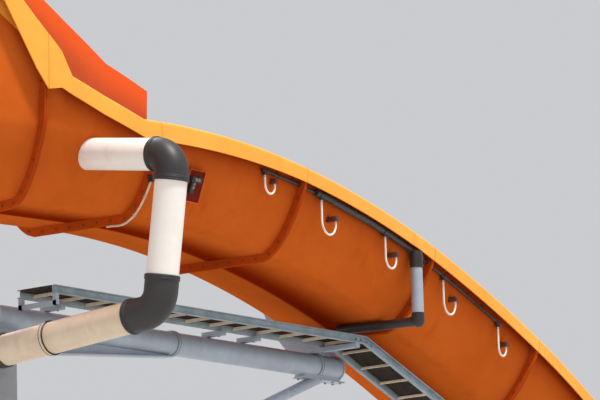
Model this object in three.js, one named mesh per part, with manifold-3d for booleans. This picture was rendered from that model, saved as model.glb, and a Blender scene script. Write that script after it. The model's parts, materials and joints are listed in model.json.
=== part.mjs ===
// Elevated open water slide: six flanged bays of fibreglass flume on steelwork, with the
// inlet pipework, the spray hoses along its rim and the service walkway below it.
// Millimetres, +Z up. The origin is the centre of the main column's foot, on the ground.
import * as THREE from 'three';
import { mergeVertices } from 'three/addons/utils/BufferGeometryUtils.js';
import Module from 'manifold-3d';

const wasm = await Module();
wasm.setup();

// Setting out. Heights and places below are measured from the setting out point, which
// stands this far from the foot of the main column.
const settingOut = new THREE.Vector3(3900, -350, 8900);

// Flume path: heading and fall at each joint in degrees, from the upstream end down.
const jointHeading = [-22, -11, 4, 5, 8, 8, 9];
const jointFall = [7, 1, -3, 7, 14, 19, 28];
const bayLength = [1780, 1220, 2180, 2250, 2200, 2200];
const anchorJoint = 3;
const anchorPoint = new THREE.Vector3(-1245, 15, -726);

// Cross sections of each bay's wall, as shares of its length
const evenShares = [0, 0.25, 0.5, 0.75, 1];
const bayShares = [
  [0, 0.25, 0.5, 0.74, 0.85, 0.93, 1], [0, 0.11, 0.2, 0.46, 0.84, 1],
  [0, 0.25, 0.5, 0.73, 1], evenShares, evenShares, evenShares];

// Flume section
const wallThickness = 12;
const bottomHalfWidth = 500;
const bulgeHalfWidth = 700;
const bulgeHeight = 100;
const shoulderHalfWidth = 862;
const shoulderHeight = 600;
const upperLean = 0.05;
const rimHeight = 775;
const cornerSteps = 7;
const lipWidth = 88;
const lipDrop = 145;
const lipRadius = 36;
const jointFlangeDepth = 80;
const jointFlangeThickness = 14;
const jointFlangeSetBack = 2;
const pieceGap = 0.15;

// The tall, curving walls upstream: place in bays from the first joint, and rim height.
// The near wall also gives how far its lip hangs down.
const nearWall = [
  { at: 0, rim: 2600, drop: 230 }, { at: 0.4, rim: 2270, drop: 230 },
  { at: 0.74, rim: 1790, drop: 230 }, { at: 0.85, rim: 1620, drop: 360 },
  { at: 0.93, rim: 1485, drop: 450 }, { at: 1, rim: 1375, drop: 500 },
  { at: 1.11, rim: 1240, drop: 335 }, { at: 1.2, rim: 1035, drop: 175 },
  { at: 1.46, rim: 915, drop: 175 }, { at: 1.84, rim: 765, drop: 170 },
  { at: 2.1, rim: 768, drop: 175 }, { at: 3, rim: rimHeight, drop: lipDrop }];
const farWall = [
  { at: 0, rim: 2850 }, { at: 1, rim: 2830 }, { at: 2, rim: 2680 }, { at: 2.25, rim: 2400 },
  { at: 2.5, rim: 2110 }, { at: 2.73, rim: 1870 }, { at: 3, rim: 1775 }];

// Water inlet pipework, 280 mm pressure pipe
const mainPipeRadius = 140;
const socketRadius = 152;
const socketCollar = 50;
const elbowBodyRadius = 147;
const upperElbowRadius = 172;
const upperElbowSockets = [55, 40];
const lowerElbowRadius = 200;
const lowerElbowSockets = [136, 160];
const elbowSteps = 9;
const inletTilt = 8.5;
const feedFall = 4.8;
const riserTop = new THREE.Vector3(-4150, -1834, -620);
const riserLength = 800;
const branchReach = 900;
const feedEndY = 60;
const feedCouplingY = -470;
const couplingLength = 30;
const endCapLength = 70;

// Bracket box and conduit on the outer wall
const bracketPart = 0.295;
const bracketSize = { along: 250, across: 140, up: 300 };
const bracketProud = 60;
const bracketPlace = 4.6;
const bracketLean = 20;
const conduitRadius = 10;
const conduitStandOff = 0.6;
const conduitEndOut = [360, 318];

// Spray supply, 110 mm pipe and small hoses. Parts are shares of a bay's length.
const supplyRadius = 57;
const supplyPart = 0.863;
const supplyHeadDrop = 160;
const supplySocketRadius = 62;
const supplyElbowReach = 80;
const supplyCrossRadius = 45;
const supplyCrossZ = -1152;
const supplyCrossLength = 880;
const manifoldRadius = 30;
const manifoldStart = 0.1;
const manifoldEnd = 0.93;
const lineRadius = 14;
const lineOut = 870;
const lineHeight = 605;
const teeRadius = 20;
const teeDrop = 45;
const hoseRadius = 10;
const sprays = [
  { bay: 2, part: 0.74, loop: 80, drop: 80 },
  { bay: 3, part: 0.139, loop: 120, drop: 190 },
  { bay: 3, part: 0.629, loop: 100, drop: 190 },
  { bay: 4, part: 0.14, loop: 120, drop: 200 },
  { bay: 4, part: 0.662, loop: 80, drop: 200 }];
const hoseRise = 22;
const hoseTurnSteps = 8;
const nozzleSize = 48;
const nozzleReach = 190;

// Steelwork
const armRadius = 109.5;
const armCentre = { y: 350, z: -1500 };
const armStartX = -4000;
const armSpliceX = -1554;
const armHeadX = 606;
const armEndX = 930;
const armFlangeRadius = 122;
const armFlangeThickness = 22;
const columnX = -3900;
const columnRadius = 136.5;
const ground = -settingOut.z;
const footSize = 560;
const footThickness = 30;
const footRibLength = 460;
const footRibHeight = 160;
const capSize = 300;
const capThickness = 20;
const shoeDrop = 25;
const shoeLength = 260;
const shoeWidth = 160;
const strutRadius = 51;
const strutFootZ = -3374;
const strutHeadX = 640;
const strutPadReach = 26;
const strutPadWidth = 170;
const strutPadHeight = 260;
const haunchEndX = -1600;
const haunchDrop = 185;
const haunchEndDrop = 12;
const haunchPlate = 14;
const haunchWidth = 110;
const headPadFrom = 370;
const headPadDrop = 15;
const headPlate = { from: 350, to: 990, thickness: 14, width: 130 };
const saddleHalf = 45;
const saddleThickness = 60;
const saddleRim = 65;
const saddleFootHalf = 140;
const headSaddleFrom = 75;
const headSaddleDepth = 330;
const trestleSaddleFrom = -420;
const trestleSaddleDepth = 490;
const upstreamSaddleHalf = 420;
const upstreamSaddleDepth = 300;
const beamSize = 160;
const beamReach = 620;
const legRadius = 84;
const legTopSpread = 620;
const legFootSpread = 1900;
const tieSize = 90;

// Walkway
const railDepth = 75;
const railFlange = 40;
const railWeb = 8;
const walkwayNearY = -225;
const walkwayFarY = 225;
const walkwayZ = -1305;
const walkwayStartX = -3817;
const walkwayKneeX = 680;
const stairSlope = 22;
const stairLength = 4500;
const deckLow = 12;
const deckThickness = 26;
const barSpacing = 350;
const rampBarSpacing = 315;
const barSection = 40;
const bearers = [{ x: -3300, y: 140 }, { x: -1030, y: 140 }, { x: -510, y: 140 },
  { x: 545, y: walkwayNearY }];
const bearerWidth = 60;
const bearerOverhang = 40;

const paint = {
  flume: { color: 0xc25e20, roughness: 0.35, metalness: 0 },
  pvc: { color: 0xf4ece2, roughness: 0.4, metalness: 0 },
  fitting: { color: 0x4a4748, roughness: 0.45, metalness: 0 },
  galvanised: { color: 0x8d98a2, roughness: 0.55, metalness: 0.7 },
  column: { color: 0x9aa1aa, roughness: 0.6, metalness: 0.1 },
  deck: { color: 0x4a4038, roughness: 0.8, metalness: 0.5 },
  hose: { color: 0xf5ebe1, roughness: 0.4, metalness: 0 },
};

const group = new THREE.Group();
group.position.copy(settingOut);

function add(name, geometry, finish) {
  geometry.deleteAttribute('uv');
  const mesh = new THREE.Mesh(geometry, new THREE.MeshStandardMaterial(paint[finish]));
  mesh.name = name;
  group.add(mesh);
  return mesh;
}

// Solids and boolean joins
function toManifold(geometry) {
  const bare = geometry.clone();
  bare.deleteAttribute('normal');
  bare.deleteAttribute('uv');
  const merged = mergeVertices(bare, 1e-3);
  return new wasm.Manifold(new wasm.Mesh({
    numProp: 3,
    vertProperties: new Float32Array(merged.attributes.position.array),
    triVerts: new Uint32Array(merged.index.array),
  }));
}

function toGeometry(solid) {
  const mesh = solid.getMesh();
  const geometry = new THREE.BufferGeometry();
  geometry.setAttribute('position', new THREE.BufferAttribute(mesh.vertProperties, 3));
  geometry.setIndex(new THREE.BufferAttribute(mesh.triVerts, 1));
  geometry.computeVertexNormals();
  return geometry;
}

function join(...geometries) {
  return toGeometry(geometries.map(toManifold).reduce((whole, piece) => whole.add(piece)));
}

function cut(geometry, ...tools) {
  return toGeometry(tools.map(toManifold)
    .reduce((rest, tool) => rest.subtract(tool), toManifold(geometry)));
}

// A closed solid through equal closed outlines, one outline for each station
function loft(outlines) {
  const count = outlines[0].length;
  const positions = outlines.flat().flatMap((point) => [point.x, point.y, point.z]);
  const index = [];
  for (let station = 0; station < outlines.length - 1; station += 1) {
    for (let side = 0; side < count; side += 1) {
      const next = (side + 1) % count;
      const a = station * count + side;
      const b = station * count + next;
      index.push(a, b, a + count, b, b + count, a + count);
    }
  }
  return { positions, index, count, last: (outlines.length - 1) * count };
}

function closeLoft(outlines, flatOutline) {
  const body = loft(outlines);
  const cap = THREE.ShapeUtils.triangulateShape(flatOutline, []);
  for (const [a, b, c] of cap) {
    body.index.push(a, c, b);
    body.index.push(body.last + a, body.last + b, body.last + c);
  }
  const geometry = new THREE.BufferGeometry();
  geometry.setAttribute('position', new THREE.Float32BufferAttribute(body.positions, 3));
  geometry.setIndex(body.index);
  geometry.computeVertexNormals();
  return geometry;
}

function box(width, depth, height, x, y, z) {
  return new THREE.BoxGeometry(width, depth, height).translate(x, y, z);
}

function rod(start, end, radius, sides = 24) {
  const along = new THREE.Vector3().subVectors(end, start);
  const geometry = new THREE.CylinderGeometry(radius, radius, along.length(), sides);
  const turn = new THREE.Quaternion().setFromUnitVectors(
    new THREE.Vector3(0, 1, 0), along.clone().normalize());
  geometry.applyQuaternion(turn);
  const middle = new THREE.Vector3().addVectors(start, end).multiplyScalar(0.5);
  return geometry.translate(middle.x, middle.y, middle.z);
}

function circle(radius) {
  return new THREE.Shape().absarc(0, 0, radius, 0, Math.PI * 2, false);
}

function pipeAlong(curve, radius, steps, sides) {
  return new THREE.ExtrudeGeometry(circle(radius), {
    extrudePath: curve, steps, curveSegments: sides / 2, bevelEnabled: false,
  });
}

// Flume path
const radians = THREE.MathUtils.degToRad;

function frameAt(heading, fall) {
  const h = radians(heading);
  const s = radians(fall);
  return {
    along: new THREE.Vector3(Math.cos(h) * Math.cos(s), Math.sin(h) * Math.cos(s), -Math.sin(s)),
    across: new THREE.Vector3(-Math.sin(h), Math.cos(h), 0),
    up: new THREE.Vector3(Math.cos(h) * Math.sin(s), Math.sin(h) * Math.sin(s), Math.cos(s)),
  };
}

const pathSteps = 24;

function buildPath() {
  const joints = [];
  const position = new THREE.Vector3();
  for (let bay = 0; bay <= bayLength.length; bay += 1) {
    joints.push(position.clone());
    if (bay === bayLength.length) break;
    for (let step = 0; step < pathSteps; step += 1) {
      const t = (step + 0.5) / pathSteps;
      const frame = frameAt(
        THREE.MathUtils.lerp(jointHeading[bay], jointHeading[bay + 1], t),
        THREE.MathUtils.lerp(jointFall[bay], jointFall[bay + 1], t));
      position.addScaledVector(frame.along, bayLength[bay] / pathSteps);
    }
  }
  const shift = anchorPoint.clone().sub(joints[anchorJoint]);
  return joints.map((joint) => joint.add(shift));
}

const joints = buildPath();

// The place and frame at a part of a bay's length, 0 at its upstream joint and 1 at the next
function stationAt(bay, part) {
  const position = joints[bay].clone();
  for (let step = 0; step < pathSteps; step += 1) {
    const t = ((step + 0.5) / pathSteps) * part;
    const frame = frameAt(
      THREE.MathUtils.lerp(jointHeading[bay], jointHeading[bay + 1], t),
      THREE.MathUtils.lerp(jointFall[bay], jointFall[bay + 1], t));
    position.addScaledVector(frame.along, (bayLength[bay] * part) / pathSteps);
  }
  const frame = frameAt(
    THREE.MathUtils.lerp(jointHeading[bay], jointHeading[bay + 1], part),
    THREE.MathUtils.lerp(jointFall[bay], jointFall[bay + 1], part));
  return { position, ...frame };
}

function place(station, y, z) {
  return station.position.clone()
    .addScaledVector(station.across, y)
    .addScaledVector(station.up, z);
}

// Rim heights along the bays, read from a wall's list by its place in bays
function along(wall, name, bay, part) {
  const place = bay + part;
  const next = wall.findIndex((row) => row.at >= place);
  if (next === -1) return wall[wall.length - 1][name];
  if (next === 0) return wall[0][name];
  const [from, to] = [wall[next - 1], wall[next]];
  return THREE.MathUtils.lerp(from[name], to[name], (place - from.at) / (to.at - from.at));
}

function nearRim(bay, part) {
  return along(nearWall, 'rim', bay, part);
}

function farRim(bay, part) {
  return bay > 2 ? rimHeight : along(farWall, 'rim', bay, part);
}

// The outer face of one side wall, from the bottom's edge up to the rim, as (half width, height)
function sideLine(rim) {
  const curve = new THREE.QuadraticBezierCurve(
    new THREE.Vector2(bottomHalfWidth, 0),
    new THREE.Vector2(bulgeHalfWidth, bulgeHeight),
    new THREE.Vector2(shoulderHalfWidth, shoulderHeight));
  const points = curve.getPoints(cornerSteps);
  const middle = (shoulderHeight + rim) / 2;
  for (const height of [middle, rim]) {
    points.push(new THREE.Vector2(shoulderHalfWidth + (height - shoulderHeight) * upperLean, height));
  }
  return points;
}

// The same line moved sideways by a distance, outward when positive
function offsetLine(points, distance) {
  return points.map((point, i) => {
    const before = points[Math.max(i - 1, 0)];
    const after = points[Math.min(i + 1, points.length - 1)];
    const direction = i === 0 ? new THREE.Vector2(1, 0)
      : new THREE.Vector2().subVectors(after, before).normalize();
    return new THREE.Vector2(point.x + direction.y * distance, point.y - direction.x * distance);
  });
}

// Outer and inner points of one side with its rim, listed from the bottom outside, up and
// over the rim, and back down to the bottom inside
function sideWithRim(rim, lip) {
  const outer = sideLine(rim);
  const inner = offsetLine(outer, -wallThickness);
  const top = outer[outer.length - 1];
  const innerTop = inner[inner.length - 1];
  const rimPoints = [];
  if (lip) {
    const face = top.x + lip.width;
    rimPoints.push(
      new THREE.Vector2(top.x, rim - wallThickness),
      new THREE.Vector2(face - wallThickness, rim - wallThickness),
      new THREE.Vector2(face - wallThickness, rim - lip.drop),
      new THREE.Vector2(face, rim - lip.drop),
      new THREE.Vector2(face, rim - lipRadius),
      new THREE.Vector2(face - lipRadius * 0.3, rim - lipRadius * 0.3),
      new THREE.Vector2(face - lipRadius, rim));
  } else {
    rimPoints.push(new THREE.Vector2(top.x, rim));
  }
  return [...outer.slice(0, -1), ...rimPoints, new THREE.Vector2(innerTop.x, rim),
    ...inner.slice(0, -1).reverse()];
}

function lipAt(bay, part) {
  return { width: lipWidth, drop: along(nearWall, 'drop', bay, part) };
}

function toNearSide(point) {
  return new THREE.Vector2(-point.x, point.y);
}

// The whole closed outline of the flume's wall at a station, near side at negative y
function shellOutline(bay, part) {
  const lip = lipAt(bay, part);
  const near = sideWithRim(nearRim(bay, part), lip);
  const far = sideWithRim(farRim(bay, part), bay > 2 ? lip : null);
  const nearHalf = near.length - sideLine(rimHeight).length;
  const farHalf = far.length - sideLine(rimHeight).length;
  const nearOuter = near.slice(0, nearHalf);
  const nearInner = near.slice(nearHalf);
  const farOuter = far.slice(0, farHalf);
  const farInner = far.slice(farHalf);
  return [
    ...nearOuter.reverse().map(toNearSide),
    ...farOuter,
    ...farInner,
    ...nearInner.reverse().map(toNearSide),
  ];
}

function flangeOutline(bay, part, depth) {
  const lip = lipAt(bay, part);
  const nearTop = nearRim(bay, part) - lip.drop + 70;
  const farTop = bay > 2 ? rimHeight - lipDrop + 70 : farRim(bay, part) - 10;
  const near = sideLine(nearTop);
  const far = sideLine(farTop);
  return [
    ...offsetLine(near, depth).reverse().map(toNearSide),
    ...offsetLine(far, depth),
    ...offsetLine(far, -wallThickness / 2).reverse(),
    ...offsetLine(near, -wallThickness / 2).map(toNearSide),
  ];
}

function solidFromOutlines(stations, outlines) {
  const placed = outlines.map((outline, i) => outline.map((p) => place(stations[i], p.x, p.y)));
  return closeLoft(placed, outlines[0]);
}

function bayParts(bay) {
  const gapPart = pieceGap / bayLength[bay];
  return bayShares[bay].map((share) => THREE.MathUtils.lerp(gapPart, 1 - gapPart, share));
}

function flumeSection(bay) {
  const parts = bayParts(bay);
  const shell = solidFromOutlines(
    parts.map((part) => stationAt(bay, part)),
    parts.map((part) => shellOutline(bay, part)));
  const plates = [0, 1].map((end) => {
    const inset = jointFlangeSetBack / bayLength[bay];
    const thick = jointFlangeThickness / bayLength[bay];
    const ends = end === 0 ? [inset, inset + thick] : [1 - inset - thick, 1 - inset];
    return solidFromOutlines(
      ends.map((part) => stationAt(bay, part)),
      ends.map((part) => flangeOutline(bay, part, jointFlangeDepth)));
  });
  return join(shell, ...plates);
}

for (let bay = 0; bay < bayLength.length; bay += 1) {
  add(`flume_section_${bay + 1}`, flumeSection(bay), 'flume');
}

// The space that one bay takes, used to trim what is bonded to its outer face
function bayEnvelope(bay) {
  const parts = bayParts(bay);
  return solidFromOutlines(parts.map((part) => stationAt(bay, part)), parts.map((part) => [
    ...offsetLine(sideLine(nearRim(bay, part)), 2 * pieceGap).reverse().map(toNearSide),
    ...offsetLine(sideLine(farRim(bay, part)), 2 * pieceGap),
  ]));
}

function vector(x, y, z) {
  return new THREE.Vector3(x, y, z);
}

function step(point, direction, distance) {
  return point.clone().addScaledVector(direction, distance);
}

// Water inlet: branch through the wall, elbow, riser, elbow, feed pipe with an end cap
const tilt = radians(inletTilt);
const riserDown = vector(0, Math.sin(tilt), -Math.cos(tilt));
const branchIn = vector(0, Math.cos(tilt), Math.sin(tilt));
const fall = radians(feedFall);
const feedAlong = vector(0, Math.cos(fall), -Math.sin(fall));

// A pressure elbow that starts at a point along one direction and turns into another
function elbow(start, from, to, radius, sockets) {
  const bendStart = step(start, from, sockets[0]);
  const reach = radius * Math.tan(from.angleTo(to) / 2);
  const corner = step(bendStart, from, reach);
  const bendEnd = step(corner, to, reach);
  const end = step(bendEnd, to, sockets[1]);
  const inward = to.clone().addScaledVector(from, -from.dot(to)).normalize();
  const centre = step(bendStart, inward, radius);
  const angle = from.angleTo(to);
  const points = [];
  for (let i = 0; i <= elbowSteps; i += 1) {
    const turned = (angle * i) / elbowSteps;
    points.push(centre.clone()
      .addScaledVector(inward, -radius * Math.cos(turned))
      .addScaledVector(from, radius * Math.sin(turned)));
  }
  const overrun = 4;
  return {
    solid: join(
      pipeAlong(new THREE.CatmullRomCurve3(points), elbowBodyRadius, elbowSteps, 28),
      rod(start, step(bendStart, from, overrun), elbowBodyRadius, 28),
      rod(step(bendEnd, to, -overrun), end, elbowBodyRadius, 28),
      rod(start, step(start, from, Math.min(socketCollar, sockets[0])), socketRadius, 28),
      rod(step(end, to, -Math.min(socketCollar, sockets[1])), end, socketRadius, 28)),
    end,
  };
}

const upperElbow = elbow(
  riserTop, riserDown.clone().negate(), branchIn, upperElbowRadius, upperElbowSockets);
add('inlet_upper_elbow', upperElbow.solid, 'fitting');

const branchStart = step(upperElbow.end, branchIn, 2 * pieceGap);
const branchFar = step(branchStart, branchIn, branchReach);
add('inlet_branch_pipe', cut(
  rod(branchStart, branchFar, mainPipeRadius, 28), bayEnvelope(1)), 'pvc');

const riserStart = step(riserTop, riserDown, 2 * pieceGap);
const riserEnd = step(riserStart, riserDown, riserLength);
add('inlet_riser_pipe', rod(riserStart, riserEnd, mainPipeRadius, 28), 'pvc');

const lowerElbow = elbow(
  step(riserEnd, riserDown, 2 * pieceGap), riserDown, feedAlong,
  lowerElbowRadius, lowerElbowSockets);
add('inlet_lower_elbow', lowerElbow.solid, 'fitting');

const feedStart = step(lowerElbow.end, feedAlong, 2 * pieceGap);
const [feedCoupling, feedEnd] = [feedCouplingY, feedEndY]
  .map((y) => step(feedStart, feedAlong, (y - feedStart.y) / feedAlong.y));
add('inlet_feed_pipe', join(
  rod(feedStart, feedEnd, mainPipeRadius, 28),
  rod(feedCoupling, step(feedCoupling, feedAlong, couplingLength), socketRadius, 28)), 'pvc');
add('inlet_end_cap', rod(
  step(feedEnd, feedAlong, 2 * pieceGap),
  step(feedEnd, feedAlong, 2 * pieceGap + endCapLength), socketRadius, 28), 'fitting');

// A place beside the faceted wall: worked out at both ends of its span, then blended
function besideWall(bay, part, locate) {
  const parts = bayParts(bay);
  const span = Math.max(parts.findIndex((end) => end >= part), 1);
  const [start, end] = [parts[span - 1], parts[span]];
  const blend = (part - start) / (end - start);
  return locate(start).lerp(locate(end), blend);
}

function wallPoint(bay, part, share, clearance) {
  return besideWall(bay, part, (at) => {
    const line = offsetLine(sideLine(nearRim(bay, at)), clearance);
    const whole = Math.min(Math.floor(share), line.length - 2);
    const point = line[whole].clone().lerp(line[whole + 1], share - whole);
    return place(stationAt(bay, at), -point.x, point.y);
  });
}

// Open box bonded to the wall beside the riser, leaning with it
const bracketStation = stationAt(2, bracketPart);
const bracketTurn = new THREE.Matrix4()
  .makeBasis(bracketStation.along, bracketStation.across, bracketStation.up)
  .multiply(new THREE.Matrix4().makeRotationX(radians(bracketLean)))
  .setPosition(wallPoint(2, bracketPart, bracketPlace, bracketProud - bracketSize.across / 2));
add('wall_bracket', cut(
  new THREE.BoxGeometry(bracketSize.along, bracketSize.across, bracketSize.up)
    .applyMatrix4(bracketTurn),
  bayEnvelope(2)), 'flume');

// Conduit along the outer edge of the flange at the second joint
const conduitPart = 1 - jointFlangeThickness / bayLength[1];
const conduitClearance = jointFlangeDepth + conduitRadius + conduitStandOff;
const conduitPoints = [4.6, 4, 3, 2, 1, 0]
  .map((share) => wallPoint(1, conduitPart, share, conduitClearance));
const conduitTail = conduitEndOut
  .map((out) => place(stationAt(1, conduitPart), -out, -conduitClearance));
add('drain_conduit', pipeAlong(
  new THREE.CatmullRomCurve3([...conduitPoints, ...conduitTail]),
  conduitRadius, 32, 10), 'galvanised');

// Spray supply: a pipe rises beside the wall to the manifold that hangs under the rim
function rimLine(bay, from, to, radius, steps, sides) {
  const points = [];
  for (let i = 0; i <= steps; i += 1) {
    points.push(besideWall(bay, THREE.MathUtils.lerp(from, to, i / steps),
      (at) => place(stationAt(bay, at), -lineOut - radius, lineHeight)));
  }
  return pipeAlong(new THREE.CatmullRomCurve3(points), radius, steps, sides);
}

// Each spray hose hangs from a tee on the line and turns up into its nozzle
function sprayPlace(bay, part, radius) {
  const station = stationAt(bay, part);
  const tee = besideWall(bay, part, (at) => place(stationAt(bay, at), -lineOut - radius, lineHeight));
  const forward = vector(station.along.x, station.along.y, 0).normalize();
  return { station, tee, forward };
}

function teeAt({ tee }, radius) {
  const top = vector(tee.x, tee.y, tee.z + radius * 0.4);
  return rod(top, vector(tee.x, tee.y, tee.z - teeDrop), teeRadius, 12);
}

function hosePath({ tee, forward }, { loop, drop }) {
  const start = vector(tee.x, tee.y, tee.z - teeDrop - 2 * pieceGap);
  const points = [start, vector(start.x, start.y, start.z - drop / 2)];
  const centre = step(vector(start.x, start.y, start.z - drop), forward, loop);
  for (let i = 0; i <= hoseTurnSteps; i += 1) {
    const turned = (Math.PI * i) / hoseTurnSteps;
    const point = step(centre, forward, -loop * Math.cos(turned));
    point.z -= loop * Math.sin(turned);
    points.push(point);
  }
  const last = points[points.length - 1];
  points.push(vector(last.x, last.y, last.z + hoseRise));
  return points;
}

function hose(points) {
  return pipeAlong(new THREE.CatmullRomCurve3(points), hoseRadius, 14, 10);
}

function nozzle(points, bay, station) {
  const end = points[points.length - 1];
  const block = new THREE.BoxGeometry(nozzleSize, nozzleReach, nozzleSize);
  block.applyMatrix4(new THREE.Matrix4().makeBasis(
    vector(station.across.y, -station.across.x, 0), station.across, vector(0, 0, 1)));
  const middle = step(end, station.across, nozzleReach / 2 - nozzleSize / 2);
  block.translate(middle.x, middle.y, middle.z + nozzleSize / 2 + 2 * pieceGap);
  return cut(block, bayEnvelope(bay));
}

function spray(number, radius) {
  const { bay, part, ...shape } = sprays[number - 1];
  const spot = sprayPlace(bay, part, radius);
  const points = hosePath(spot, shape);
  add(`spray_hose_${number}`, hose(points), 'hose');
  add(`spray_nozzle_${number}`, nozzle(points, bay, spot.station), 'fitting');
  return teeAt(spot, radius);
}

const flangeFace = jointFlangeSetBack + jointFlangeThickness + 4 * pieceGap;

function toJoint(bay, end) {
  const part = flangeFace / bayLength[bay];
  return end === 0 ? part : 1 - part;
}

add('spray_line_upper', join(
  rimLine(2, sprays[0].part - 0.02, toJoint(2, 1), lineRadius, 4, 12),
  spray(1, lineRadius)), 'fitting');

const supplyHead = besideWall(3, supplyPart,
  (at) => place(stationAt(3, at), -lineOut - supplyRadius - 3, lineHeight));
const supplyTop = vector(supplyHead.x, supplyHead.y, supplyHead.z - supplyHeadDrop - 2 * pieceGap);

add('spray_manifold', join(
  rod(supplyHead, step(supplyHead, vector(0, 0, -1), supplyHeadDrop), supplySocketRadius, 20),
  rimLine(3, manifoldStart, manifoldEnd, manifoldRadius, 8, 14),
  rimLine(3, toJoint(3, 0), manifoldStart + 0.01, lineRadius, 2, 12),
  rimLine(3, manifoldEnd - 0.01, toJoint(3, 1), lineRadius, 2, 12),
  spray(2, manifoldRadius),
  spray(3, manifoldRadius)), 'fitting');

add('spray_line_lower', join(
  rimLine(4, toJoint(4, 0), sprays[4].part + 0.02, lineRadius, 8, 12),
  spray(4, lineRadius),
  spray(5, lineRadius)), 'fitting');

const supplyTurn = vector(supplyTop.x, supplyTop.y, supplyCrossZ);
const supplyAcross = stationAt(3, supplyPart).across;
add('supply_riser', rod(
  supplyTop, vector(supplyTop.x, supplyTop.y, supplyCrossZ + supplyElbowReach + 2 * pieceGap),
  supplyRadius, 20), 'galvanised');
add('supply_elbow', join(
  rod(step(supplyTurn, vector(0, 0, 1), supplyElbowReach), supplyTurn, supplySocketRadius, 20),
  new THREE.SphereGeometry(supplySocketRadius, 20, 12)
    .translate(supplyTurn.x, supplyTurn.y, supplyTurn.z),
  rod(supplyTurn, step(supplyTurn, supplyAcross, supplyElbowReach),
    supplyCrossRadius + 6, 20)), 'fitting');
const supplyCrossEnd = step(supplyTurn, supplyAcross, supplyCrossLength);
add('supply_cross_pipe', rod(
  step(supplyTurn, supplyAcross, supplyElbowReach + 2 * pieceGap), supplyCrossEnd,
  supplyCrossRadius, 20), 'fitting');

// Main column, arm and strut
function plate(points, thickness, y) {
  const shape = new THREE.Shape(points.map(([x, z]) => new THREE.Vector2(x, z)));
  const geometry = new THREE.ExtrudeGeometry(shape, { depth: thickness, bevelEnabled: false });
  return geometry.rotateX(Math.PI / 2).translate(0, y + thickness / 2, 0);
}

function columnFoot(x, y) {
  const plates = [box(footSize, footSize, footThickness, x, y, ground + footThickness / 2)];
  for (const turn of [0, 1]) {
    const rib = box(footRibLength, 14, footRibHeight, 0, 0, ground + footThickness + footRibHeight / 2);
    plates.push(rib.rotateZ((turn * Math.PI) / 2).translate(x, y, 0));
  }
  return plates;
}

function armLength(from, to, radius = armRadius) {
  return rod(vector(from, armCentre.y, armCentre.z), vector(to, armCentre.y, armCentre.z), radius, 24);
}

const armUnderside = armCentre.z - armRadius;
const headPadBottom = armUnderside - headPadDrop;
const shoeBottom = armUnderside - shoeDrop;
const columnTop = shoeBottom - 2 * pieceGap;
// A block under the arm, from one place along it to another, that the strut's plate meets
function headPad(from, to) {
  const height = headPadDrop + 50;
  return box(to - from, 120, height, (from + to) / 2, armCentre.y, headPadBottom + height / 2);
}

add('support_column', join(
  rod(vector(columnX, armCentre.y, ground), vector(columnX, armCentre.y, columnTop - 4), columnRadius),
  box(capSize, capSize, capThickness, columnX, armCentre.y, columnTop - capThickness / 2),
  box(2 * strutPadReach, strutPadWidth, strutPadHeight, columnX + columnRadius,
    armCentre.y, strutFootZ),
  ...columnFoot(columnX, armCentre.y)), 'column');

add('support_arm_inner', join(
  armLength(armStartX, armSpliceX - 2 * pieceGap),
  armLength(armSpliceX - armFlangeThickness, armSpliceX - 2 * pieceGap, armFlangeRadius),
  armLength(armStartX - 16, armStartX, armRadius + 10),
  box(shoeLength, shoeWidth, shoeDrop + 60, columnX, armCentre.y, shoeBottom + (shoeDrop + 60) / 2),
), 'galvanised');

add('support_arm_outer', join(
  armLength(armSpliceX, armHeadX - 2 * pieceGap),
  armLength(armSpliceX, armSpliceX + armFlangeThickness, armFlangeRadius),
  armLength(armHeadX - armFlangeThickness, armHeadX - 2 * pieceGap, armFlangeRadius),
  headPad(headPadFrom, armHeadX - 2 * pieceGap)), 'galvanised');

const haunchStart = columnX + columnRadius + 2 * pieceGap;
const haunchTop = armUnderside - 2 * pieceGap;
const capEdge = columnX + capSize / 2 + 2 * pieceGap;
const capBottom = columnTop - capThickness - 2 * pieceGap;
add('arm_haunch', join(
  plate([[capEdge, haunchTop], [capEdge, capBottom], [haunchStart, capBottom],
    [haunchStart, haunchTop - haunchDrop], [haunchEndX, haunchTop - haunchEndDrop],
    [haunchEndX, haunchTop]], haunchPlate, armCentre.y),
  plate([[haunchStart, haunchTop - haunchDrop], [haunchStart, haunchTop - haunchDrop - haunchPlate],
    [haunchEndX, haunchTop - haunchEndDrop - haunchPlate], [haunchEndX, haunchTop - haunchEndDrop]],
  haunchWidth, armCentre.y)), 'galvanised');

// A saddle plate under the flanges at a joint, between two places across the flume
function saddle(bay, part, back, front, fromY, depth, climb) {
  const seat = offsetLine(sideLine(rimHeight), jointFlangeDepth + 2 * pieceGap).slice(0, climb);
  const under = offsetLine(sideLine(rimHeight), jointFlangeDepth + saddleRim).slice(0, climb);
  const farTop = seat.map((p) => new THREE.Vector2(p.x, p.y));
  const outline = [
    new THREE.Vector2(fromY, -depth),
    new THREE.Vector2(saddleFootHalf + fromY + 220, -depth),
    ...under.slice(2),
    ...farTop.reverse(),
    new THREE.Vector2(fromY, -jointFlangeDepth - 2 * pieceGap),
  ];
  const station = stationAt(bay, part);
  const ends = [back, front].map((distance) => ({
    ...station, position: step(station.position, station.along, distance),
  }));
  return solidFromOutlines(ends, [outline, outline]);
}

add('arm_head', join(
  armLength(armHeadX, armEndX),
  armLength(armHeadX, armHeadX + armFlangeThickness, armFlangeRadius),
  armLength(armEndX - 12, armEndX + 4, armRadius + 14),
  headPad(armHeadX, armEndX - 12),
  saddle(4, 0, -saddleHalf, saddleHalf, headSaddleFrom, headSaddleDepth, 6)), 'galvanised');

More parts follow.
